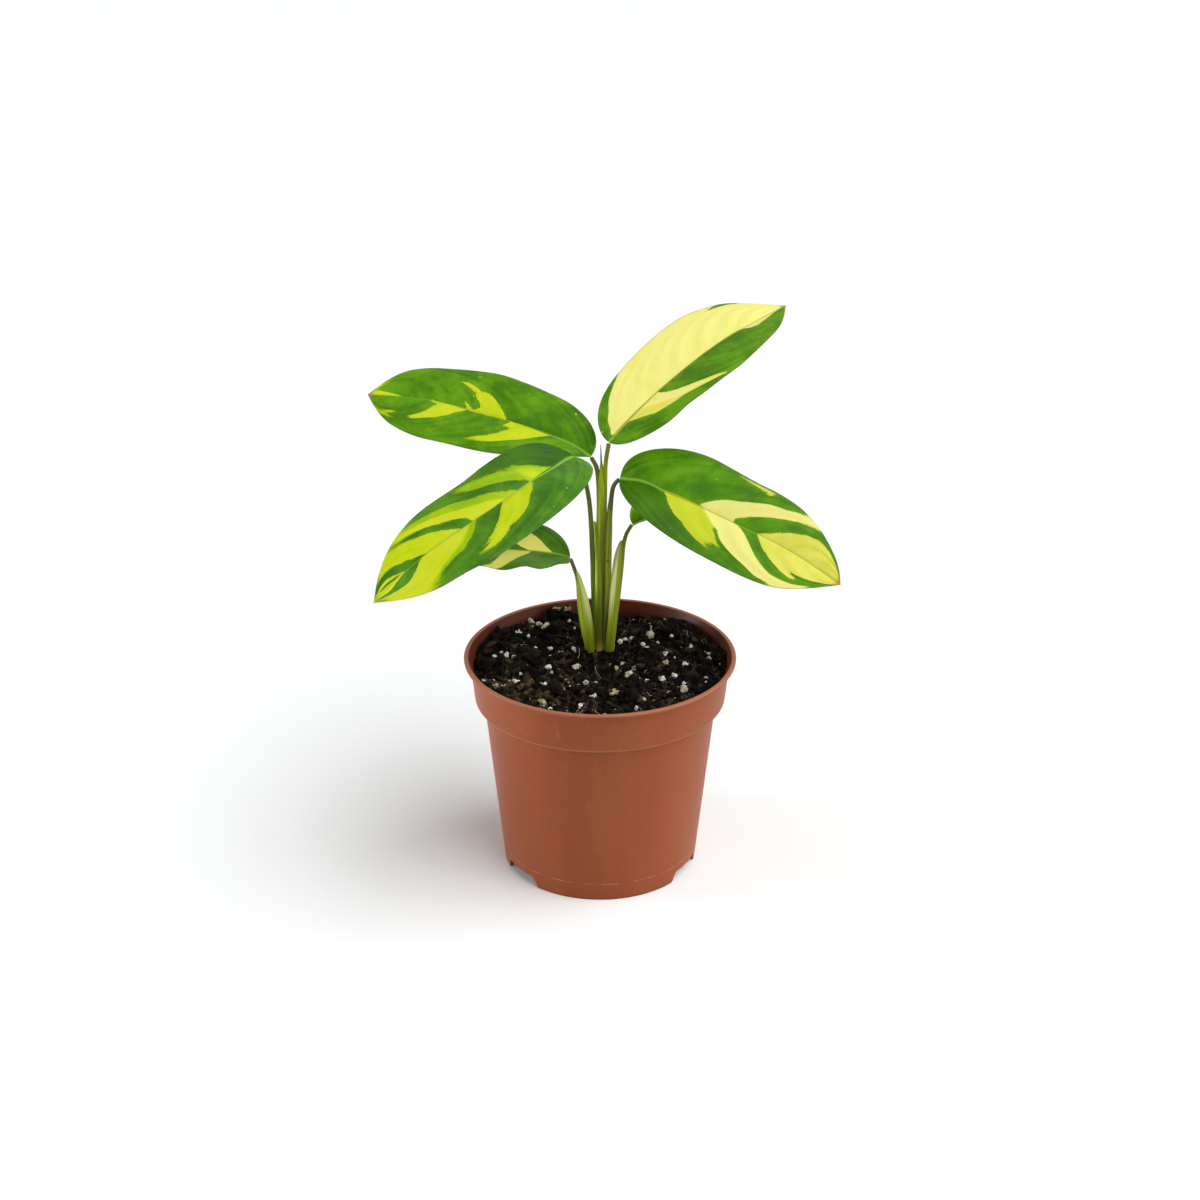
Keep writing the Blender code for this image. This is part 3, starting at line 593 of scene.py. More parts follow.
# The suns: power, width in degrees and where the light comes from. The lamp: place, size, power.
SUNS = {"key": (3.45, 78, (1.0, -0.4, 1.1)), "top": (0.2, 40, (0.0, 0.0, 1.0))}
SIDE_LAMP = ((-1.15, -0.1, 0.16), 0.3, 8.5)
LAMP_AIM = (0.0, 0.0, 0.11)
WORLD_LEVEL = 0.18
FLOOR_REACH = 8.0
FLOOR_PAPER = (0.965, 0.985, 0.99)
FLOOR_GLOW = 0.08


# ---------------------------------------------------------------- meshes


def smooth_value(values, t):
    """A smooth curve through evenly spaced values, read at t from 0 to 1."""
    last = len(values) - 1
    x = min(max(t, 0.0), 1.0) * last
    i = min(int(x), last - 1)
    f = x - i
    b = values[i]
    c = values[i + 1]
    a = values[i - 1] if i > 0 else 2 * b - c
    d = values[i + 2] if i + 2 <= last else 2 * c - b
    return b + 0.5 * f * (c - a + f * (2 * a - 5 * b + 4 * c - d + f * (3 * (b - c) + d - a)))


def add_object(name, data):
    """An object of the scene that holds a mesh, a light or the camera."""
    made = bpy.data.objects.new(name, data)
    bpy.context.scene.collection.objects.link(made)
    return made


def add_mesh(name, points, faces, material, replaced=()):
    """A smooth-shaded piece on the plant's one body, from points in millimetres."""
    mesh = bpy.data.meshes.new(name)
    mesh.from_pydata((np.asarray(points) * MM).tolist(), [], faces)
    mesh.update()
    piece = add_object(name, mesh)
    mesh.materials.append(material)
    mesh.shade_smooth()
    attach(piece, BODY)
    if replaced:
        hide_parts(*replaced)
    return piece


def add_values(piece, **columns):
    """Stores one number a point under each name, for the materials to read."""
    for name, values in columns.items():
        layer = piece.data.attributes.new(name, "FLOAT", "POINT")
        layer.data.foreach_set("value", np.asarray(values, np.float32).ravel())


def ring_faces(rings, around, first=0):
    """Quads between neighbouring rings of points, which begin at the point first."""
    faces = []
    for a in range(first, first + (rings - 1) * around, around):
        for j in range(around):
            k = (j + 1) % around
            faces.append((a + j, a + k, a + around + k, a + around + j))
    return faces


def end_faces(low_point, high_point, low_ring, high_ring, around):
    """Triangles that close the lowest and the highest ring on one point each."""
    faces = []
    for j in range(around):
        k = (j + 1) % around
        faces.append((low_point, low_ring + k, low_ring + j))
        faces.append((high_point, high_ring + j, high_ring + k))
    return faces


def sheet_faces(rows, columns):
    """The faces of a thin closed sheet whose rows hold its upper, then its lower points."""
    faces = []
    around = 2 * columns
    last = columns - 1
    for a in range(0, (rows - 1) * around, around):
        b = a + around
        for j in range(last):
            faces.append((a + j, a + j + 1, b + j + 1, b + j))
            k = columns + j
            faces.append((a + k, b + k, b + k + 1, a + k + 1))
        faces.append((a, b, b + columns, a + columns))
        faces.append((a + last, a + columns + last, b + columns + last, b + last))
    end = (rows - 1) * around
    for j in range(last):
        faces.append((j, columns + j, columns + j + 1, j + 1))
        faces.append((end + j, end + j + 1, end + columns + j + 1, end + columns + j))
    return faces


# ---------------------------------------------------------------- materials


class Wire:
    """A node's output. Sums and products of wires and numbers make Math nodes."""

    def __init__(self, nodes, socket):
        self.nodes = nodes
        self.socket = socket

    def __add__(self, other):
        return self.nodes.math("ADD", self, other)

    def __sub__(self, other):
        return self.nodes.math("SUBTRACT", self, other)

    def __mul__(self, other):
        return self.nodes.math("MULTIPLY", self, other)

    def __truediv__(self, other):
        return self.nodes.math("DIVIDE", self, other)

    def __abs__(self):
        return self.nodes.math("ABSOLUTE", self)

    def fade(self, low, high, bottom=0.0, top=1.0):
        """Goes smoothly from bottom to top as this goes from low to high."""
        inputs = {"Value": self, "From Min": low, "From Max": high, "To Min": bottom, "To Max": top}
        return self.nodes.node("ShaderNodeMapRange", inputs, interpolation_type="SMOOTHSTEP")


class Nodes:
    """A node tree, with short names for the nodes used here."""

    def __init__(self, tree):
        self.tree = tree

    def put(self, socket, value):
        if isinstance(value, Wire):
            self.tree.links.new(value.socket, socket)
        elif isinstance(value, tuple) and socket.type == "RGBA":
            socket.default_value = (*value, 1.0)
        else:
            socket.default_value = value

    def node(self, kind, inputs, output=0, **settings):
        made = self.tree.nodes.new(kind)
        for key, value in settings.items():
            setattr(made, key, value)
        for key, value in inputs.items():
            self.put(made.inputs[key], value)
        return Wire(self, made.outputs[output])

    def math(self, operation, a, b=0.0):
        return self.node("ShaderNodeMath", {0: a, 1: b}, operation=operation)

    def seen_directly(self):
        """1 for what the camera sees, straight, mirrored or through glass."""
        rays = ("Is Camera Ray", "Is Glossy Ray", "Is Transmission Ray")
        straight, mirrored, through = (self.node("ShaderNodeLightPath", {}, ray) for ray in rays)
        return self.math("MAXIMUM", self.math("MAXIMUM", straight, mirrored), through)


class Look(Nodes):
    """A material whose base colour is laid on in coats."""

    def __init__(self, name):
        self.material = bpy.data.materials.new(name)
        self.material.use_nodes = True
        super().__init__(self.material.node_tree)
        self.shader = self.tree.nodes["Principled BSDF"]
        self.colour = None

    def value(self, name):
        """A number that add_values has stored."""
        return self.node("ShaderNodeAttribute", {}, "Fac", attribute_name=name)

    def place(self):
        """Where a point lies on the piece, in metres."""
        return self.node("ShaderNodeTexCoord", {}, "Object")

    def join(self, x, y, z=0.0):
        return self.node("ShaderNodeCombineXYZ", {0: x, 1: y, 2: z})

    def noise(self, scale, detail=3.0, rough=0.5, where=None):
        where = where or self.place()
        inputs = {"Vector": where, "Scale": scale, "Detail": detail, "Roughness": rough}
        return self.node("ShaderNodeTexNoise", inputs)

    def lines(self, count, stretch):
        """Noise drawn out along a stalk or sheath, that many lines across it."""
        where = self.join(self.value("across") * count, self.value("height") * stretch)
        return self.noise(1.0, where=where)

    def mix(self, share, a, b):
        return self.node("ShaderNodeMix", {0: share, 6: a, 7: b}, 2, data_type="RGBA")

    def coat(self, share, colour):
        """Lays a colour over the base colour."""
        self.colour = self.mix(share, self.colour, colour)

    def ramp(self, x, *stops):
        made = self.tree.nodes.new("ShaderNodeValToRGB")
        self.put(made.inputs[0], x)
        ramp = made.color_ramp
        while len(ramp.elements) < len(stops):
            ramp.elements.new(0.5)
        for element, (place, colour) in zip(ramp.elements, stops):
            element.position = place
            element.color = (*colour, 1.0)
        return Wire(self, made.outputs[0])

    def bump(self, height, strength, distance):
        inputs = {"Height": height, "Strength": strength, "Distance": distance}
        self.put(self.shader.inputs["Normal"], self.node("ShaderNodeBump", inputs))

    def finish(self, roughness, specular, subsurface=None):
        """Fills the shader. Subsurface is the weight and the reach in metres."""
        values = {"Base Color": self.colour, "Roughness": roughness, "Specular IOR Level": specular}
        if subsurface:
            values["Subsurface Weight"], values["Subsurface Scale"] = subsurface
        for key, value in values.items():
            self.put(self.shader.inputs[key], value)
        return self.material


# ---------------------------------------------------------------- blades


def outline_width(half, trim, s):
    """The width of one half of a blade at s along its midrib."""
    widest, place, base = half
    if s < place:
        width = widest * (1 - (1 - s / place) ** BASE_FULLNESS) ** base
    else:
        width = widest * (1 - ((s - place) / (1 - place)) ** TIP_FULLNESS)
    return max(width * smooth_value(trim, s), LEAST_HALF_WIDTH)


def blade_axes(leaf, s):
    """The direction of growth, the blade's right side and its upper normal at s."""
    angles = (math.radians(smooth_value(leaf[key], s)) for key in ("heading", "climb", "roll"))
    heading, climb, roll = angles
    level = Vector((math.sin(heading), -math.cos(heading), 0.0))
    flat = math.cos(climb)
    ahead = Vector((flat * math.cos(heading), flat * math.sin(heading), math.sin(climb)))
    above = level.cross(ahead)
    side = level * math.cos(roll) + above * math.sin(roll)
    normal = above * math.cos(roll) - level * math.sin(roll)
    return ahead, side, normal


def midrib_points(leaf, shares):
    """Points on the midrib at the given shares of its length."""
    track = [Vector(leaf["base"])]
    step = 1.0 / MIDRIB_STEPS
    for k in range(MIDRIB_STEPS):
        ahead = blade_axes(leaf, (k + 0.5) * step)[0]
        track.append(track[-1] + ahead * (leaf["length"] * step))
    places = []
    for s in shares:
        k = min(int(s * MIDRIB_STEPS), MIDRIB_STEPS - 1)
        places.append(track[k].lerp(track[k + 1], s * MIDRIB_STEPS - k))
    return places


def vein_place(s, u):
    """Where on the midrib the vein through this point begins, as a share of the length."""
    return s - VEIN_LEAN * np.abs(u) - VEIN_BEND * np.abs(u) ** 3


def depth_inside(corners, x, y):
    """How far inside a closed outline each point lies, and negative outside it."""
    nearest = np.full(x.shape, np.inf)
    inside = np.zeros(x.shape, bool)
    for (ax, ay), (bx, by) in zip(corners, corners[1:] + corners[:1]):
        ex = bx - ax
        ey = by - ay
        t = np.clip(((x - ax) * ex + (y - ay) * ey) / (ex * ex + ey * ey), 0, 1)
        nearest = np.minimum(nearest, np.hypot(x - ax - t * ex, y - ay - t * ey))
        if ey:
            inside ^= ((ay > y) != (by > y)) & (x < ax + (y - ay) * ex / ey)
    return np.where(inside, nearest, -nearest)


def variegation(leaf, s, u):
    """The depth inside the pale patches, in millimetres, and the tint there."""
    x = vein_place(s, u) * leaf["length"]
    y = u * FLAT_WIDTH
    depth = np.full(s.shape, OUTSIDE)
    tint = np.full(s.shape, LIME)
    for colour, *outline in leaf["patches"]:
        along, across = np.array(outline).T / 100
        corners = zip(vein_place(along, across) * leaf["length"], across * FLAT_WIDTH)
        here = depth_inside(list(corners), x, y)
        if colour is GREEN:
            depth = np.minimum(depth, -here)
            continue
        # The tint blends into that of an earlier patch, and elsewhere is whole.
        share = np.clip(here / TINT_BLEND + 0.5, 0, 1)
        share = np.where(depth < 0, here > -TINT_REACH, share)
        tint = tint + (colour - tint) * share
        depth = np.maximum(depth, here)
    return depth, tint


def blade_relief(leaf, s, t, width, reach, vein, slim):
    """How high camber, waves, veins and swells lift the points of a cross-section."""
    half = np.where(t < 0, LEFT, RIGHT)
    amount, waves, phase = leaf["wave"]
    lift = CAMBER * width * 4 * np.abs(t) * (1 - np.abs(t))
    turn = 2 * math.pi * (waves * s + phase + WAVE_STAGGER * half)
    lift = lift + amount * t**2 * np.sin(turn) * math.sin(math.pi * s)
    inner = np.clip(reach / VEIN_START, 0, 1) * (1 - t**4)
    lift = lift + VEIN_HEIGHT * np.cos(2 * math.pi * vein / VEIN_SPACING) * inner
    swell = np.sin(2 * math.pi * (vein / SWELL_SPACING + SWELL_STAGGER * half + phase))
    return lift + SWELL_HEIGHT * swell * inner * slim


def blade_section(leaf, s, centre, t):
    """One cross-section of a blade: its upper and lower points and where they lie on it."""
    _, side, normal = (np.array(axis) for axis in blade_axes(leaf, s))
    left = outline_width(leaf["left"], leaf["trim_left"], s)
    right = outline_width(leaf["right"], leaf["trim_right"], s)
    width = np.where(t < 0, left, right)
    slim = min(1.0, left / SLENDER)
    rib = smooth_value(leaf["rib"], s) * slim
    across = width * t + rib * (1 - np.abs(t))
    away = across - rib
    reach = np.abs(away)
    vein = vein_place(s, t) * leaf["length"]
    fold = math.radians(smooth_value(leaf["fold"], s))
    lift = reach * math.sin(fold) + blade_relief(leaf, s, t, width, reach, vein, slim)
    middle = np.array(centre) + np.outer(across * math.cos(fold), side) + np.outer(lift, normal)
    thick = BLADE_THICK + (MARGIN_THICK - BLADE_THICK) * t**2
    top = thick / 2 - GROOVE_DEPTH * np.exp(-((reach / GROOVE_WIDTH) ** 2)) * slim
    ridge = RIB_DEPTH * (1 - RIB_TAPER * s) * np.exp(-((reach / RIB_WIDTH) ** 2)) * slim
    upper = middle + np.outer(top, normal)
    lower = middle - np.outer(thick / 2 + ridge, normal)
    u = np.where(across < 0, across / left, across / right)
    return upper, lower, u, away, vein + HALVES_APART * np.where(t < 0, LEFT, RIGHT)


def blade(name, leaf):
    """A thin leaf with a grooved midrib, raised veins and softly waving margins."""
    rows = BLADE_STATIONS + 1
    shares = [(1 - math.cos(math.pi * k / BLADE_STATIONS)) / 2 for k in range(rows)]
    even = np.linspace(-1, 1, BLADE_COLUMNS + 1)
    t = np.sign(even) * np.abs(even) ** MIDRIB_CROWDING
    places = midrib_points(leaf, shares)
    sections = [blade_section(leaf, s, centre, t) for s, centre in zip(shares, places)]
    upper, lower, u, away, vein = (np.array(part) for part in zip(*sections))
    points = np.concatenate([upper, lower], axis=1).reshape(-1, 3)
    along = np.repeat(np.array(shares)[:, None], len(t), axis=1)
    depth, tint = variegation(leaf, along, u)
    edge = np.abs(np.tile(t, (rows, 1)))
    faces = sheet_faces(rows, len(t))
    piece_name = name.replace("leaf", "blade")
    piece = add_mesh(piece_name, points, faces, leaf_look(name, leaf), [name])
    grids = {"depth": depth, "tint": tint, "vein": vein, "away": away, "along": along, "edge": edge}
    values = {key: np.concatenate([grid, grid], axis=1) for key, grid in grids.items()}
    below = np.concatenate([np.zeros(edge.shape), np.ones(edge.shape)], axis=1)
    add_values(piece, below=below, **values)


def leaf_green(look, leaf, streak, cloud, mottle, veins):
    """Green with streaks along the veins, cloudy depth and lines of lateral veins."""
    dark, light = leaf["greens"]
    tone = streak * 0.45 + cloud * 0.75 + (mottle - 0.5) * 0.3
    green = look.mix(tone.fade(0.42, 0.82), dark, light)
    green = look.mix(veins.fade(0.6, 1.0, 0.0, 0.045), green, VEIN_ON_GREEN)
    # Painted shade: one half darkens towards half the darkest green near the base.
    if "shade" in leaf:
        half, amount, full, none = leaf["shade"]
        over = (look.value("away") * half).fade(0.0, 2.0)
        over = over * look.value("along").fade(full, none, amount, 0.0)
        green = look.mix(over, green, tuple(0.5 * c for c in dark))
    return green


def leaf_pale(look, leaf, streak, cloud, mottle, veins):
    """From light green through lime to cream, with faint lines along the veins."""
    stray = (streak - 0.5) * 0.3 + (cloud - 0.5) * 0.4 + (mottle - 0.5) * 0.16
    pale = look.ramp(look.value("tint") + stray, *PALES)
    pale = look.mix(veins.fade(0.6, 1.0, 0.0, 0.05), pale, VEIN_ON_PALE)
    if "wash" in leaf:
        share, tint = leaf["wash"]
        pale = look.mix(share, pale, tint)
    return pale


def leaf_look(name, leaf):
    """Green blade with pale patches that end raggedly along the veins."""
    look = Look("look_" + name)
    vein = look.value("vein")
    away = abs(look.value("away"))
    along = look.value("along")
    along_vein = look.join(vein, away * 0.16)
    # The edge of a patch steps a little from one vein to the next, and less near the midrib.
    coarse = look.noise(1.1, 2.0, 0.6, along_vein)
    fine = look.noise(2.4, 2.0, where=look.join(vein, away * 0.45))
    shift = (coarse - 0.5) * 1.2 + (fine - 0.5) * 0.9
    shift = shift * look.value("tint").fade(PALE_GREEN, CREAM, 3.4, 1.0)
    inside = look.value("depth") + shift * away.fade(0.4, 2.6, 0.1, 1.0)
    patch = inside.fade(-0.1, 0.1)
    streak = look.noise(0.17, 2.5, where=along_vein)
    cloud = look.noise(75.0)
    mottle = look.noise(330.0, 4.0, 0.6)
    veins = look.math("SINE", vein * (2 * math.pi / VEIN_SPACING))
    green = leaf_green(look, leaf, streak, cloud, mottle, veins)
    pale = leaf_pale(look, leaf, streak, cloud, mottle, veins)
    look.colour = look.mix(patch, green, pale)
    # A fine darker seam where green meets pale, then the midrib, the margin, the tip and specks.
    look.coat(abs(inside).fade(0.0, 0.45, 0.3, 0.0), SEAM)
    rib = along.fade(0.0, 0.45, 0.75, 0.16) - away
    look.coat(rib.fade(-0.14, 0.14, 0.0, 0.8), look.mix(patch, RIB_ON_GREEN, RIB_ON_PALE))
    rim = look.mix(patch, RIM_ON_GREEN, look.mix(cloud.fade(0.5, 0.62), *RIM_ON_PALE))
    look.coat(look.value("edge").fade(0.978, 0.996, 0.0, 0.75), rim)
    look.coat(along.fade(0.965, 0.99, 0.0, 0.85), leaf["tip_tint"])
    look.coat(look.noise(420.0, 1.0).fade(0.79, 0.82, 0.0, 0.5), SPECK)
    look.coat(look.value("below"), look.mix(0.5, look.colour, UNDERSIDE))
    look.bump(veins * 0.25 + fine * 0.75, 0.22, 0.0002)
    return look.finish(cloud.fade(0.35, 0.7, 0.36, 0.48), 0.07, (0.05, 0.0012))


# ---------------------------------------------------------------- stalks


def tube(stations):
    """Rings of points along a smooth path through the stations, and how many rings there are."""
    total = STALK_STEPS * (len(stations) - 1)
    columns = list(zip(*stations))
    path = [[smooth_value(column, k / total) for column in columns] for k in range(total + 1)]
    points = []
    for k, (x, y, z, half_width, half_depth) in enumerate(path):
        before = Vector(path[max(k - 1, 0)][:3])
        after = Vector(path[min(k + 1, total)][:3])
        along = (after - before).normalized()
        back = Vector((0, 1, 0))
        back = (back - along * back.dot(along)).normalized()
        across = back.cross(along)
        for j in range(STALK_SIDES):
            angle = 2 * math.pi * j / STALK_SIDES
            size = 1 + STALK_RIB * math.cos(STALK_RIBS * angle)
            offset = across * (math.cos(angle) * half_width * size)
            offset = offset + back * (math.sin(angle) * half_depth * size)
            points.append(Vector((x, y, z)) + offset)
    return points, total + 1


def stalk(name, stations, look):
    """A slim ribbed stalk, closed at both ends."""
    points, rings = tube(stations)
    count = len(points)
    ends = (points[:STALK_SIDES], points[-STALK_SIDES:])
    points += [sum(ring, Vector()) / STALK_SIDES for ring in ends]
    faces = ring_faces(rings, STALK_SIDES)
    faces += end_faces(count, count + 1, 0, count - STALK_SIDES, STALK_SIDES)
    piece = add_mesh(name + "_shown", points, faces, look, [name])
    top = stations[-1][2]
    across = [j / STALK_SIDES for j in range(STALK_SIDES)] * rings + [0.0, 0.0]
    height = [p[2] for p in points]
    add_values(piece, height=height, fall=[top - z for z in height], across=across)


def stalk_look(name, green, neck_tint, neck):
    """Fine lines along the stalk, yellow at the soil and purple-green near the blade."""
    look = Look(name)
    lines = look.lines(34.0, 0.03)
    mottle = look.noise(90.0)
    deep, bright = (tuple(share * c for c in green) for share in (0.72, 1.25))
    look.colour = look.mix(lines.fade(0.35, 0.7), deep, bright)
    low = look.value("height").fade(*STALK_LOW, 0.85, 0.0)
    look.coat(low, look.mix(mottle, *STALK_FOOT))
    look.coat(look.value("fall").fade(neck * 0.5, neck * 1.4, 0.9, 0.0), neck_tint)
    look.bump(lines + mottle, 0.3, 0.0002)
    return look.finish(mottle.fade(0.3, 0.7, 0.34, 0.5), 0.12, (0.05, 0.001))


def sheath(name, stations, look):
    """A thin wing that curves round the front of the stalks, up to a free point."""
    rows = SHEATH_STEPS * (len(stations) - 1) + 1
    columns = list(zip(*stations))
    across = np.arange(SHEATH_COLUMNS) / (SHEATH_COLUMNS - 1)
    ridges = SHEATH_RIDGE * np.sin(SHEATH_RIDGES * 2 * math.pi * across)
    sheets = []
    for k in range(rows):
        left, right, y, z = (smooth_value(column, k / (rows - 1)) for column in columns)
        x = left + (right - left) * across
        bow = SHEATH_BOW * (right - left) * np.sin(math.pi * across)
        front = y + SHEATH_BACK - bow - ridges
        for offset in (-SHEATH_THICK / 2, SHEATH_THICK / 2):
            height = np.full(across.shape, z)
            sheets.append(np.stack([x, front + offset, height], axis=1))
    points = np.concatenate(sheets)
    piece = add_mesh(name, points, sheet_faces(rows, SHEATH_COLUMNS), look)
    add_values(piece, height=points[:, 2], across=np.tile(across, 2 * rows))


def papery_look(name, inner, outer, low, high):
    """Green where it meets its stalk, pale and papery on its free side."""
    look = Look(name)
    lines = look.lines(14.0, 0.04)
    height = look.value("height")
    cream = look.mix(lines.fade(0.35, 0.7), *PAPERY_CREAM)
    green = look.mix(lines.fade(0.35, 0.7), *PAPERY_GREEN)
    free = look.value("across").fade(inner, outer) * height.fade(low - 8.0, low + 8.0)
    look.colour = look.mix(free, green, cream)
    # Painted shade near the soil.
    look.coat(height.fade(*PAPERY_SHADE_LOW, 0.75, 0.0), PAPERY_PAINTED_SHADE)
    look.coat(height.fade(high - 3.0, high + 2.0, 0.0, 0.6), PAPERY_TIP)
    look.bump(lines, 0.4, 0.0002)
    return look.finish(0.5, 0.12, (0.06, 0.001))


def green_sheath_look(name, bright, middle, deep):
    """Bands along the bundle: bright on the left edge, deeper and streaked to the right."""
    look = Look(name)
    lines = look.lines(9.0, 0.02)
    height = look.value("height")
    mottle = look.noise(110.0)
    across = look.value("across") + (lines - 0.5) * 0.7
    bands = zip(SHEATH_BANDS, (bright, bright, middle, deep, middle))
    look.colour = look.ramp(across, *bands)
    look.coat(height.fade(*SHEATH_TOP, 0.0, 0.75), bright)
    # Painted shade low on the bundle.
    look.coat(height.fade(*SHEATH_SHADE_LOW, 0.72, 0.0), SHEATH_PAINTED_SHADE)
    look.coat(height.fade(*SHEATH_LOW, 0.8, 0.0), look.mix(mottle, *SHEATH_FOOT))
    spots = look.noise(160.0, 1.0)
    look.coat(spots.fade(0.74, 0.78, 0.0, 0.6), SHEATH_SPOT)
    look.bump(lines + mottle, 0.35, 0.0002)
    return look.finish(mottle.fade(0.3, 0.7, 0.36, 0.5), 0.12, (0.05, 0.001))


def build_plant():
    for name, leaf in LEAVES.items():
        blade(name, {"trim_left": EVEN, "trim_right": EVEN, "rib": STRAIGHT, **leaf})
    for name, made in STALKS.items():
        look = stalk_look("look_" + name, made["green"], made["neck_tint"], made["neck"])
        stalk(name, made["stations"], look)
    for name, made in SHEATHS.items():
        if "papery" in made:
            look = papery_look("look_" + name, *made["papery"])
        else:
            look = green_sheath_look("look_" + name, *made["greens"])
        sheath(name, made["stations"], look)


# ---------------------------------------------------------------- pot


def wall_radius(z):
    """The outer radius of the wall below the band."""
    return WALL_BOTTOM_RADIUS + (WALL_TOP_RADIUS - WALL_BOTTOM_RADIUS) * z / BAND_BOTTOM


def arc(r, z, size, first, last, steps=5):
    """Points on a round edge about (r, z), from one angle to another in degrees."""
    angles = [math.radians(first + (last - first) * k / steps) for k in range(steps + 1)]
    return [(r + size * math.cos(angle), z + size * math.sin(angle)) for angle in angles]


def notch_lift(angle):
    """How high the foot ring's lower edge stands at this angle, from -Y towards +X."""
    lift = 0.0
    for centre in NOTCH_ANGLES:
        away = (angle - math.radians(centre) + math.pi) % (2 * math.pi) - math.pi
        reach = abs(away) * WALL_BOTTOM_RADIUS
        t = (NOTCH_HALF_WIDTH_LOW - reach) / (NOTCH_HALF_WIDTH_LOW - NOTCH_HALF_WIDTH_HIGH)
        t = min(max(t, 0.0), 1.0)
        lift = max(lift, NOTCH_TOP * t * t * (3 - 2 * t))
    return lift


def pot_outside():
    """(r, z) from the foot's inner corner up the outside and over the lip."""
    profile = [(WALL_BOTTOM_RADIUS - FOOT_RING, 0.0), (WALL_BOTTOM_RADIUS - EDGE, 0.0)]
    profile += [(WALL_BOTTOM_RADIUS - 0.1, 0.12)]
    profile += [(wall_radius(z), z) for z in (EDGE, 1.5, 3.0, 4.5, 6.0, 7.2, 7.7)]
    profile += [(wall_radius(LINE_HEIGHT) - LINE_DEPTH, LINE_HEIGHT)]
    profile += [(wall_radius(z), z) for z in (8.3, 9.0, *range(14, 78, 6))]
    profile += arc(WALL_TOP_RADIUS + STEP_ROUND, BAND_BOTTOM - STEP_ROUND, STEP_ROUND, 180, 90)
    profile += arc(BAND_BOTTOM_RADIUS - BAND_ROUND, BAND_BOTTOM + BAND_ROUND, BAND_ROUND, -90, 0)
    profile += [(BAND_BOTTOM_RADIUS + BAND_SLOPE * k, BAND_BOTTOM + k) for k in (3, 7, 11, 15)]
    inner = INNER_ROUND
    profile += arc(BAND_TOP_RADIUS + inner, LIP_UNDERSIDE - inner, inner, 180, 90, 3)
    profile += arc(LIP_RADIUS - BAND_ROUND, LIP_UNDERSIDE + BAND_ROUND, BAND_ROUND, -90, 0)
    profile += arc(LIP_RADIUS - LIP_ROUND, POT_HEIGHT - LIP_ROUND, LIP_ROUND, 0, 90)
    return profile + arc(LIP_INNER_RADIUS + inner, POT_HEIGHT - inner, inner, 90, 180)


def pot_inside():
    """(r, z) from below the lip down the inside to the base plate and the foot."""
    band = BAND_TOP_RADIUS - WALL
    profile = [(band, LIP_UNDERSIDE - INSIDE_STEP), (band - SOIL_WEAR, SOIL_MARK)]
    profile += [(BAND_BOTTOM_RADIUS - WALL, BAND_BOTTOM + INSIDE_STEP)]
    profile += [(WALL_TOP_RADIUS - WALL, BAND_BOTTOM)]
    profile += [(wall_radius(z) - WALL, z) for z in (WAIST_HEIGHT, FILLET_TOP)]
    plate = wall_radius(PLATE_TOP)
    profile += [(plate - WALL - FILLET, PLATE_TOP)]
    profile += [(plate - LEDGE, PLATE_TOP), (plate - LEDGE, FOOT_HEIGHT)]
    return profile + [(wall_radius(FOOT_HEIGHT) - FOOT_RING, FOOT_HEIGHT)]


def build_pot(look):
    """The moulded pot. Its foot ring's edge rises over the three notches."""
    outside = pot_outside()
    profile = outside + pot_inside()
    count = len(profile)
    points = []
    faces = []
    for k in range(POT_SEGMENTS):
        angle = 2 * math.pi * k / POT_SEGMENTS
        lift = notch_lift(angle)
        for r, z in profile:
            raised = lift + z * (1 - lift / FOOT_HEIGHT) if z < FOOT_HEIGHT else z
            radius = r + (wall_radius(raised) - wall_radius(z))
            points.append((radius * math.sin(angle), -radius * math.cos(angle), raised))
        a = k * count
        b = (k + 1) % POT_SEGMENTS * count
        for j in range(count):
            n = (j + 1) % count
            faces.append((a + j, b + j, b + n, a + n))
    piece = add_mesh("pot_shown", points, faces, look, ["pot"])
    piece.data.set_sharp_from_angle(angle=math.radians(POT_SHARP))
    # The inside is painted darker, as shade, from the end of the lip's inner edge downwards.
    clean = len(outside) - 2
    add_values(piece, stained=([0.0] * clean + [SHADED_INSIDE] * (count - clean)) * POT_SEGMENTS)


def cylinders(name, places, radius, height, segments):
    """Upright cylinders at the base plate's height, in one helper object."""
    bm = bmesh.new()
    for x, y in places:
        place = Matrix.Translation((x, y, (PLATE_TOP + FOOT_HEIGHT) / 2))
        bmesh.ops.create_cone(
            bm, cap_ends=True, segments=segments, radius1=radius, radius2=radius, depth=height,
            matrix=place,
        )
    mesh = bpy.data.meshes.new(name)
    bm.to_mesh(mesh)
    bm.free()
    return add_object(name, mesh)


def build_plate(look):
    """The base plate with its seven drain holes."""
    angles = [2 * math.pi * (k + 0.5) / DRAIN_COUNT for k in range(DRAIN_COUNT)]
    holes = [(DRAIN_CIRCLE * math.sin(angle), -DRAIN_CIRCLE * math.cos(angle)) for angle in angles]
    radius = wall_radius(PLATE_TOP) - LEDGE + PLATE_LAP
    thick = PLATE_TOP - FOOT_HEIGHT - PLATE_THINNER
    whole = cylinders("disc", [(0.0, 0.0)], radius, thick, PLATE_SEGMENTS)
    cutter = cylinders("drill", [(0.0, 0.0), *holes], DRAIN_RADIUS, 4 * thick, DRAIN_SEGMENTS)
    cut = whole.modifiers.new("holes", "BOOLEAN")
    cut.operation = "DIFFERENCE"
    cut.object = cutter
    bpy.context.view_layer.update()
    cut_mesh = whole.evaluated_get(bpy.context.evaluated_depsgraph_get()).to_mesh()
    points = [tuple(v.co) for v in cut_mesh.vertices]
    faces = [tuple(p.vertices) for p in cut_mesh.polygons]
    for helper in (whole, cutter):
        bpy.data.objects.remove(helper)
    piece = add_mesh("pot_plate", points, faces, look)
    piece.data.set_sharp_from_angle(angle=math.radians(PLATE_SHARP))


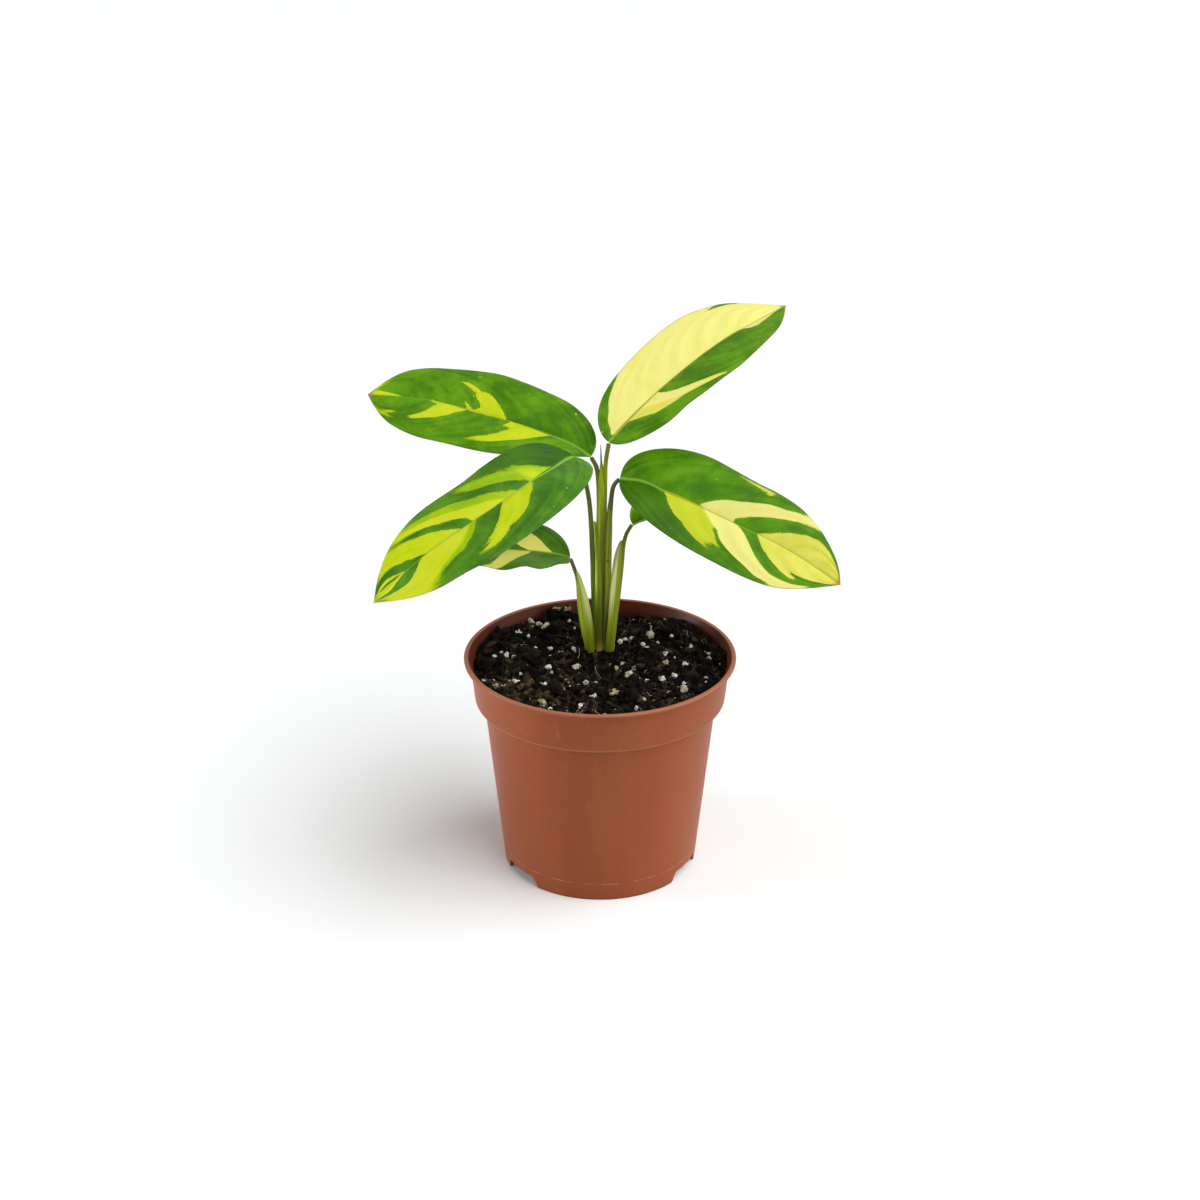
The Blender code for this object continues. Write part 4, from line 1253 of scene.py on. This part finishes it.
def pot_look():
    """Terracotta-coloured plastic: satin, faintly flow-marked, with a few scuffs and specks."""
    look = Look("look_pot")
    place = {0: look.place()}
    x, y, z = (look.node("ShaderNodeSeparateXYZ", place, axis) for axis in range(3))
    flow = look.noise(34.0, where=look.join(x, y, z * 0.2))
    grain = look.noise(900.0, 2.0)
    scuff = look.noise(210.0, 4.0, where=look.join(x, y, z * 0.35))
    speck = look.noise(330.0, 1.0)
    look.colour = look.mix(flow.fade(0.3, 0.7), *TERRACOTTA)
    look.coat(grain.fade(0.4, 0.75, 0.0, 0.12), POT_GRAIN)
    look.coat(scuff.fade(0.70, 0.78, 0.0, 0.3), POT_SCUFF)
    look.coat(speck.fade(0.76, 0.80, 0.0, 0.6), POT_SPECK)
    # The moulded line near the foot is rubbed pale in places, and the band's lower edge and the
    # lip's top carry painted highlights.
    height = z / MM
    off_line = abs(height - (LINE_HEIGHT + 0.5))
    rubbed = off_line.fade(0.12, 0.4, 1.0, 0.0) * scuff.fade(0.42, 0.62, 0.0, 0.6)
    look.coat(rubbed, POT_RUBBED)
    # Painted highlights along the band's lower edge and the lip's top.
    look.coat(abs(height - (BAND_BOTTOM + 0.5)).fade(0.1, 0.7, 0.3, 0.0), EDGE_HIGHLIGHT)
    look.coat(height.fade(POT_HEIGHT - 1.0, POT_HEIGHT - 0.2, 0.0, 0.55), EDGE_HIGHLIGHT)
    # Painted contact shadow along the lowest millimetre of the pot.
    look.coat(height.fade(0.2, 1.1, 0.75, 0.0), POT_FOOT_SHADOW)
    # Painted shade on the inner wall.
    look.coat(look.value("stained"), POT_INSIDE_SHADE)
    look.bump(grain * 0.4 + flow, 0.12, 0.0004)
    return look.finish(flow.fade(0.3, 0.7, 0.36, 0.46), 0.14)


# ---------------------------------------------------------------- soil


def soil_height(x, y):
    """The fill's own shape with a swell, clods of two sizes and grain on it."""
    height = SOIL_LEVEL
    for centre_x, centre_y, reach, tall in SOIL_LUMPS:
        away = ((x - centre_x) ** 2 + (y - centre_y) ** 2) / reach**2
        height += tall * math.exp(-away)
    place = Vector((x, y, SOIL_SLICE))
    height += SOIL_SWELL[0] * noise.noise(place / SOIL_SWELL[1])
    for tall, crest, size in SOIL_CLODS:
        height += tall * (crest - abs(noise.noise(place / size)))
    return height + SOIL_GRAIN[0] * noise.noise(place / SOIL_GRAIN[1])


def soil_edge(z):
    """The fill's radius at height z, just inside the pot."""
    if z > BAND_BOTTOM + 1.0:
        return BAND_BOTTOM_RADIUS + BAND_SLOPE * (z - BAND_BOTTOM) - WALL - SOIL_GAP
    return wall_radius(z) - WALL - SOIL_GAP


def ring(radius):
    """Points on a circle round the pot's axis."""
    angles = [2 * math.pi * k / SOIL_ANGLES for k in range(SOIL_ANGLES)]
    return [(radius * math.cos(angle), radius * math.sin(angle)) for angle in angles]


def build_soil(look):
    """A closed fill whose top is broken into clods."""
    points = [(0.0, 0.0, SOIL_SIDE[0])]
    for z in SOIL_SIDE:
        inset = SOIL_FOOT_INSET if z == SOIL_SIDE[0] else 0.0
        points += [(x, y, z) for x, y in ring(soil_edge(z) - inset)]
    crown = Vector(CROWN)
    for n in range(SOIL_RINGS):
        for x, y in ring(soil_edge(SOIL_LEVEL) * (1 - n / SOIL_RINGS)):
            near = (Vector((x, y)) - crown).length
            z = soil_height(x, y) + CROWN_HEIGHT * math.exp(-((near / CROWN_REACH) ** 2))
            points.append((x, y, min(z, POT_HEIGHT - SOIL_BELOW_LIP)))
    last = len(points)
    points.append((0.0, 0.0, soil_height(0.0, 0.0)))
    faces = ring_faces(len(SOIL_SIDE) + SOIL_RINGS, SOIL_ANGLES, 1)
    faces += end_faces(0, last, 1, last - SOIL_ANGLES, SOIL_ANGLES)
    piece = add_mesh("soil_fill", points, faces, look, ["soil"])
    middle = Vector(FIBROUS_MIDDLE)
    away = [(Vector(p[:2]) - middle).length / FIBROUS_REACH for p in points]
    add_values(piece, fibrous=[FIBROUS_SHARE * math.exp(-share * share) for share in away])


def ball(detail):
    """A round body's points and triangles, of size 1."""
    bm = bmesh.new()
    bmesh.ops.create_icosphere(bm, subdivisions=detail, radius=1.0)
    points = np.array([v.co for v in bm.verts])
    faces = np.array([[v.index for v in f.verts] for f in bm.faces])
    bm.free()
    return points, faces


def random_spot(dice, rim):
    """A point of the soil's top, outside the foot of the plant."""
    while True:
        x = dice.uniform(-rim, rim)
        y = dice.uniform(-rim, rim)
        off_crown = math.hypot((x - CROWN[0]) / CROWN_CLEAR[0], (y - CROWN[1]) / CROWN_CLEAR[1])
        if math.hypot(x, y) < rim and off_crown > 1:
            return x, y


def clustered_spots(count, seed):
    """Points of the soil's top that lie singly and in small groups."""
    dice = random.Random(seed)
    spots = []
    while len(spots) < count:
        x, y = random_spot(dice, INNER_RIM)
        group = range(dice.choice(GROUP_SIZES))
        spots += [(x + dice.gauss(0, GROUP_SPREAD), y + dice.gauss(0, GROUP_SPREAD)) for _ in group]
    return spots[:count]


def lumpy_grain(dice, shape, size, squash, rough):
    """The points of one lumpy grain about its middle."""
    stretch = np.array([1.0, dice.uniform(*squash), dice.uniform(*squash)])
    shift = Vector([dice.uniform(0, FAR_NOISE) for _ in range(3)])
    bulge = np.array([1 + rough * noise.noise(Vector(p) * GRAIN_LUMPS + shift) for p in shape])
    turn = Matrix.Rotation(dice.uniform(0, math.tau), 3, "Z")
    turn = turn @ Matrix.Rotation(dice.uniform(-GRAIN_TILT, GRAIN_TILT), 3, "Y")
    return shape * bulge[:, None] * stretch * size @ np.array(turn).T


def scatter(name, look, places, detail, sizes, squash, rough, out, seed):
    """Many lumpy grains that lie on the soil, joined in one piece.

    A place has x and y, and may bring the grain's size and tone. None is a random place.
    """
    dice = random.Random(seed)
    shape, triangles = ball(detail)
    points = []
    faces = []
    tone = []
    for n, place in enumerate(places):
        x, y, *given = place or random_spot(dice, SOIL_RIM)
        if given:
            size = given[0]
        else:
            size = sizes[0] + (sizes[1] - sizes[0]) * dice.random() ** MOSTLY_SMALL
        body = lumpy_grain(dice, shape, size, squash, rough)
        z = min(soil_height(x, y) + size * out, POT_HEIGHT - GRAIN_BELOW_LIP)
        body = body + np.array((x, y, z))
        # No grain reaches into the pot's wall.
        away = np.hypot(body[:, 0], body[:, 1])
        body[:, :2] *= np.minimum(1.0, GRAIN_REACH / np.maximum(away, 1.0))[:, None]
        faces.append(triangles + n * len(shape))
        points.append(body)
        tone.append(np.full(len(shape), given[1] if given else dice.random()))
    faces = np.concatenate(faces).tolist()
    piece = add_mesh(name, np.concatenate(points), faces, look)
    add_values(piece, tone=np.concatenate(tone))


def fibre(dice):
    """The rings of one thin twig that lies curled on the soil, and its tone."""
    x, y = random_spot(dice, INNER_RIM)
    heading = dice.uniform(0, math.tau)
    length = dice.uniform(*FIBRE_LENGTH)
    width = dice.uniform(*FIBRE_WIDTH)
    tone = dice.random()
    points = []
    for k in range(FIBRE_STEPS + 1):
        z = soil_height(x, y) + width + FIBRE_ARCH * math.sin(math.pi * k / FIBRE_STEPS)
        taper = width * (1 - FIBRE_TAPER * k / FIBRE_STEPS)
        side = Vector((-math.sin(heading), math.cos(heading), 0))
        for j in range(FIBRE_SIDES):
            angle = math.tau * j / FIBRE_SIDES
            across = math.cos(angle) * taper
            up = Vector((0, 0, math.sin(angle) * taper))
            points.append(Vector((x, y, z)) + side * across + up)
        heading += dice.uniform(-FIBRE_TURN, FIBRE_TURN)
        x += math.cos(heading) * length / FIBRE_STEPS
        y += math.sin(heading) * length / FIBRE_STEPS
        if math.hypot(x, y) > FIBRE_RIM:
            heading += math.pi / 2
    return points, tone


def fibres(look):
    """Twigs and root hairs, joined in one piece."""
    dice = random.Random(FIBRE_SEED)
    points = []
    faces = []
    tones = []
    for _ in range(FIBRE_COUNT):
        first = len(points)
        last = first + FIBRE_STEPS * FIBRE_SIDES
        made, tone = fibre(dice)
        points += made
        tones += [tone] * len(made)
        faces += ring_faces(FIBRE_STEPS + 1, FIBRE_SIDES, first)
        faces.append(tuple(range(first, first + FIBRE_SIDES))[::-1])
        faces.append(tuple(range(last, last + FIBRE_SIDES)))
    piece = add_mesh("soil_fibres", points, faces, look)
    add_values(piece, tone=tones)


def soil_look():
    """Near-black peat with brown crumbs, matt and grainy."""
    look = Look("look_soil")
    clod = look.noise(240.0, 5.0, 0.6)
    # The colour follows the bump's height: partly the peat's own colour, partly painted shade in
    # the hollows and painted highlight on the crests.
    look.colour = look.ramp(clod, *PEATS)
    patch = look.noise(40.0, 2.0)
    look.coat(patch.fade(0.52, 0.7, 0.0, 0.3), DRY_PEAT)
    look.coat(look.value("fibrous") * clod.fade(0.4, 0.6), FIBROUS)
    look.bump(clod, 1.0, 0.0009)
    return look.finish(0.85, 0.06)


def grain_look(kind):
    """A material for scattered grains, each with a tone of its own."""
    dark, light, roughness = GRAIN_LOOKS[kind]
    look = Look("look_" + kind)
    speck = look.noise(900.0)
    look.colour = look.mix(look.value("tone") * 0.7 + speck * 0.4, dark, light)
    look.bump(speck, 0.6, 0.0003)
    return look.finish(roughness, 0.06)


def build_soil_top():
    build_soil(soil_look())
    looks = {kind: grain_look(kind) for kind in GRAIN_LOOKS}
    for name, kind, places, *form, seed in SCATTERED:
        if name in CLUSTERED:
            places = clustered_spots(places, seed)
        elif isinstance(places, int):
            places = [None] * places
        scatter(name, looks[kind], places, *form, seed)
    fibres(looks["fibre"])


# ---------------------------------------------------------------- stage


def face_along(made, direction):
    """Turns a light so that it shines in a direction."""
    made.rotation_euler = Vector(direction).to_track_quat("-Z", "Y").to_euler()


def build_floor():
    """A white floor that keeps the shadow and glows a little for the camera."""
    mesh = bpy.data.meshes.new("floor")
    far = FLOOR_REACH
    corners = [(-far, -far, 0), (far, -far, 0), (far, far, 0), (-far, far, 0)]
    mesh.from_pydata(corners, [], [(0, 1, 2, 3)])
    material = bpy.data.materials.new("look_floor")
    material.use_nodes = True
    nodes = Nodes(material.node_tree)
    nodes.tree.nodes.clear()
    output = nodes.tree.nodes.new("ShaderNodeOutputMaterial")
    paper = nodes.node("ShaderNodeBsdfDiffuse", {"Color": FLOOR_PAPER})
    glow = nodes.node("ShaderNodeEmission", {"Strength": 1.0})
    share = nodes.seen_directly() * FLOOR_GLOW
    nodes.put(output.inputs[0], nodes.node("ShaderNodeMixShader", {0: share, 1: paper, 2: glow}))
    mesh.materials.append(material)
    add_object("floor", mesh)


def build_lights():
    """A white world, which lights the plant less than it shows, two suns and a lamp."""
    world = bpy.data.worlds.new("studio")
    bpy.context.scene.world = world
    world.use_nodes = True
    nodes = Nodes(world.node_tree)
    levels = {"Value": nodes.seen_directly(), "To Min": WORLD_LEVEL, "To Max": 1.0}
    sky = nodes.tree.nodes["Background"]
    nodes.put(sky.inputs[0], (1.0, 1.0, 1.0))
    nodes.put(sky.inputs[1], nodes.node("ShaderNodeMapRange", levels))
    for name, (power, width, source) in SUNS.items():
        sun = bpy.data.lights.new(name, "SUN")
        sun.energy = power
        sun.angle = math.radians(width)
        face_along(add_object(name, sun), -Vector(source))
    place, size, power = SIDE_LAMP
    lamp = bpy.data.lights.new("left", "AREA")
    lamp.size = size
    lamp.energy = power
    holder = add_object("left", lamp)
    holder.location = place
    face_along(holder, Vector(LAMP_AIM) - Vector(place))


def build_camera():
    camera = bpy.data.cameras.new("camera")
    camera.sensor_width = CAMERA_SENSOR
    camera.lens = CAMERA_LENS
    viewer = add_object("camera", camera)
    viewer.location = CAMERA_PLACE
    viewer.rotation_euler = (math.radians(90 - CAMERA_DOWN), 0, 0)
    bpy.context.scene.camera = viewer
    bpy.context.scene.view_settings.view_transform = "Standard"


def main():
    plastic = pot_look()
    build_pot(plastic)
    build_plate(plastic)
    build_soil_top()
    build_plant()
    build_floor()
    build_lights()
    build_camera()


main()
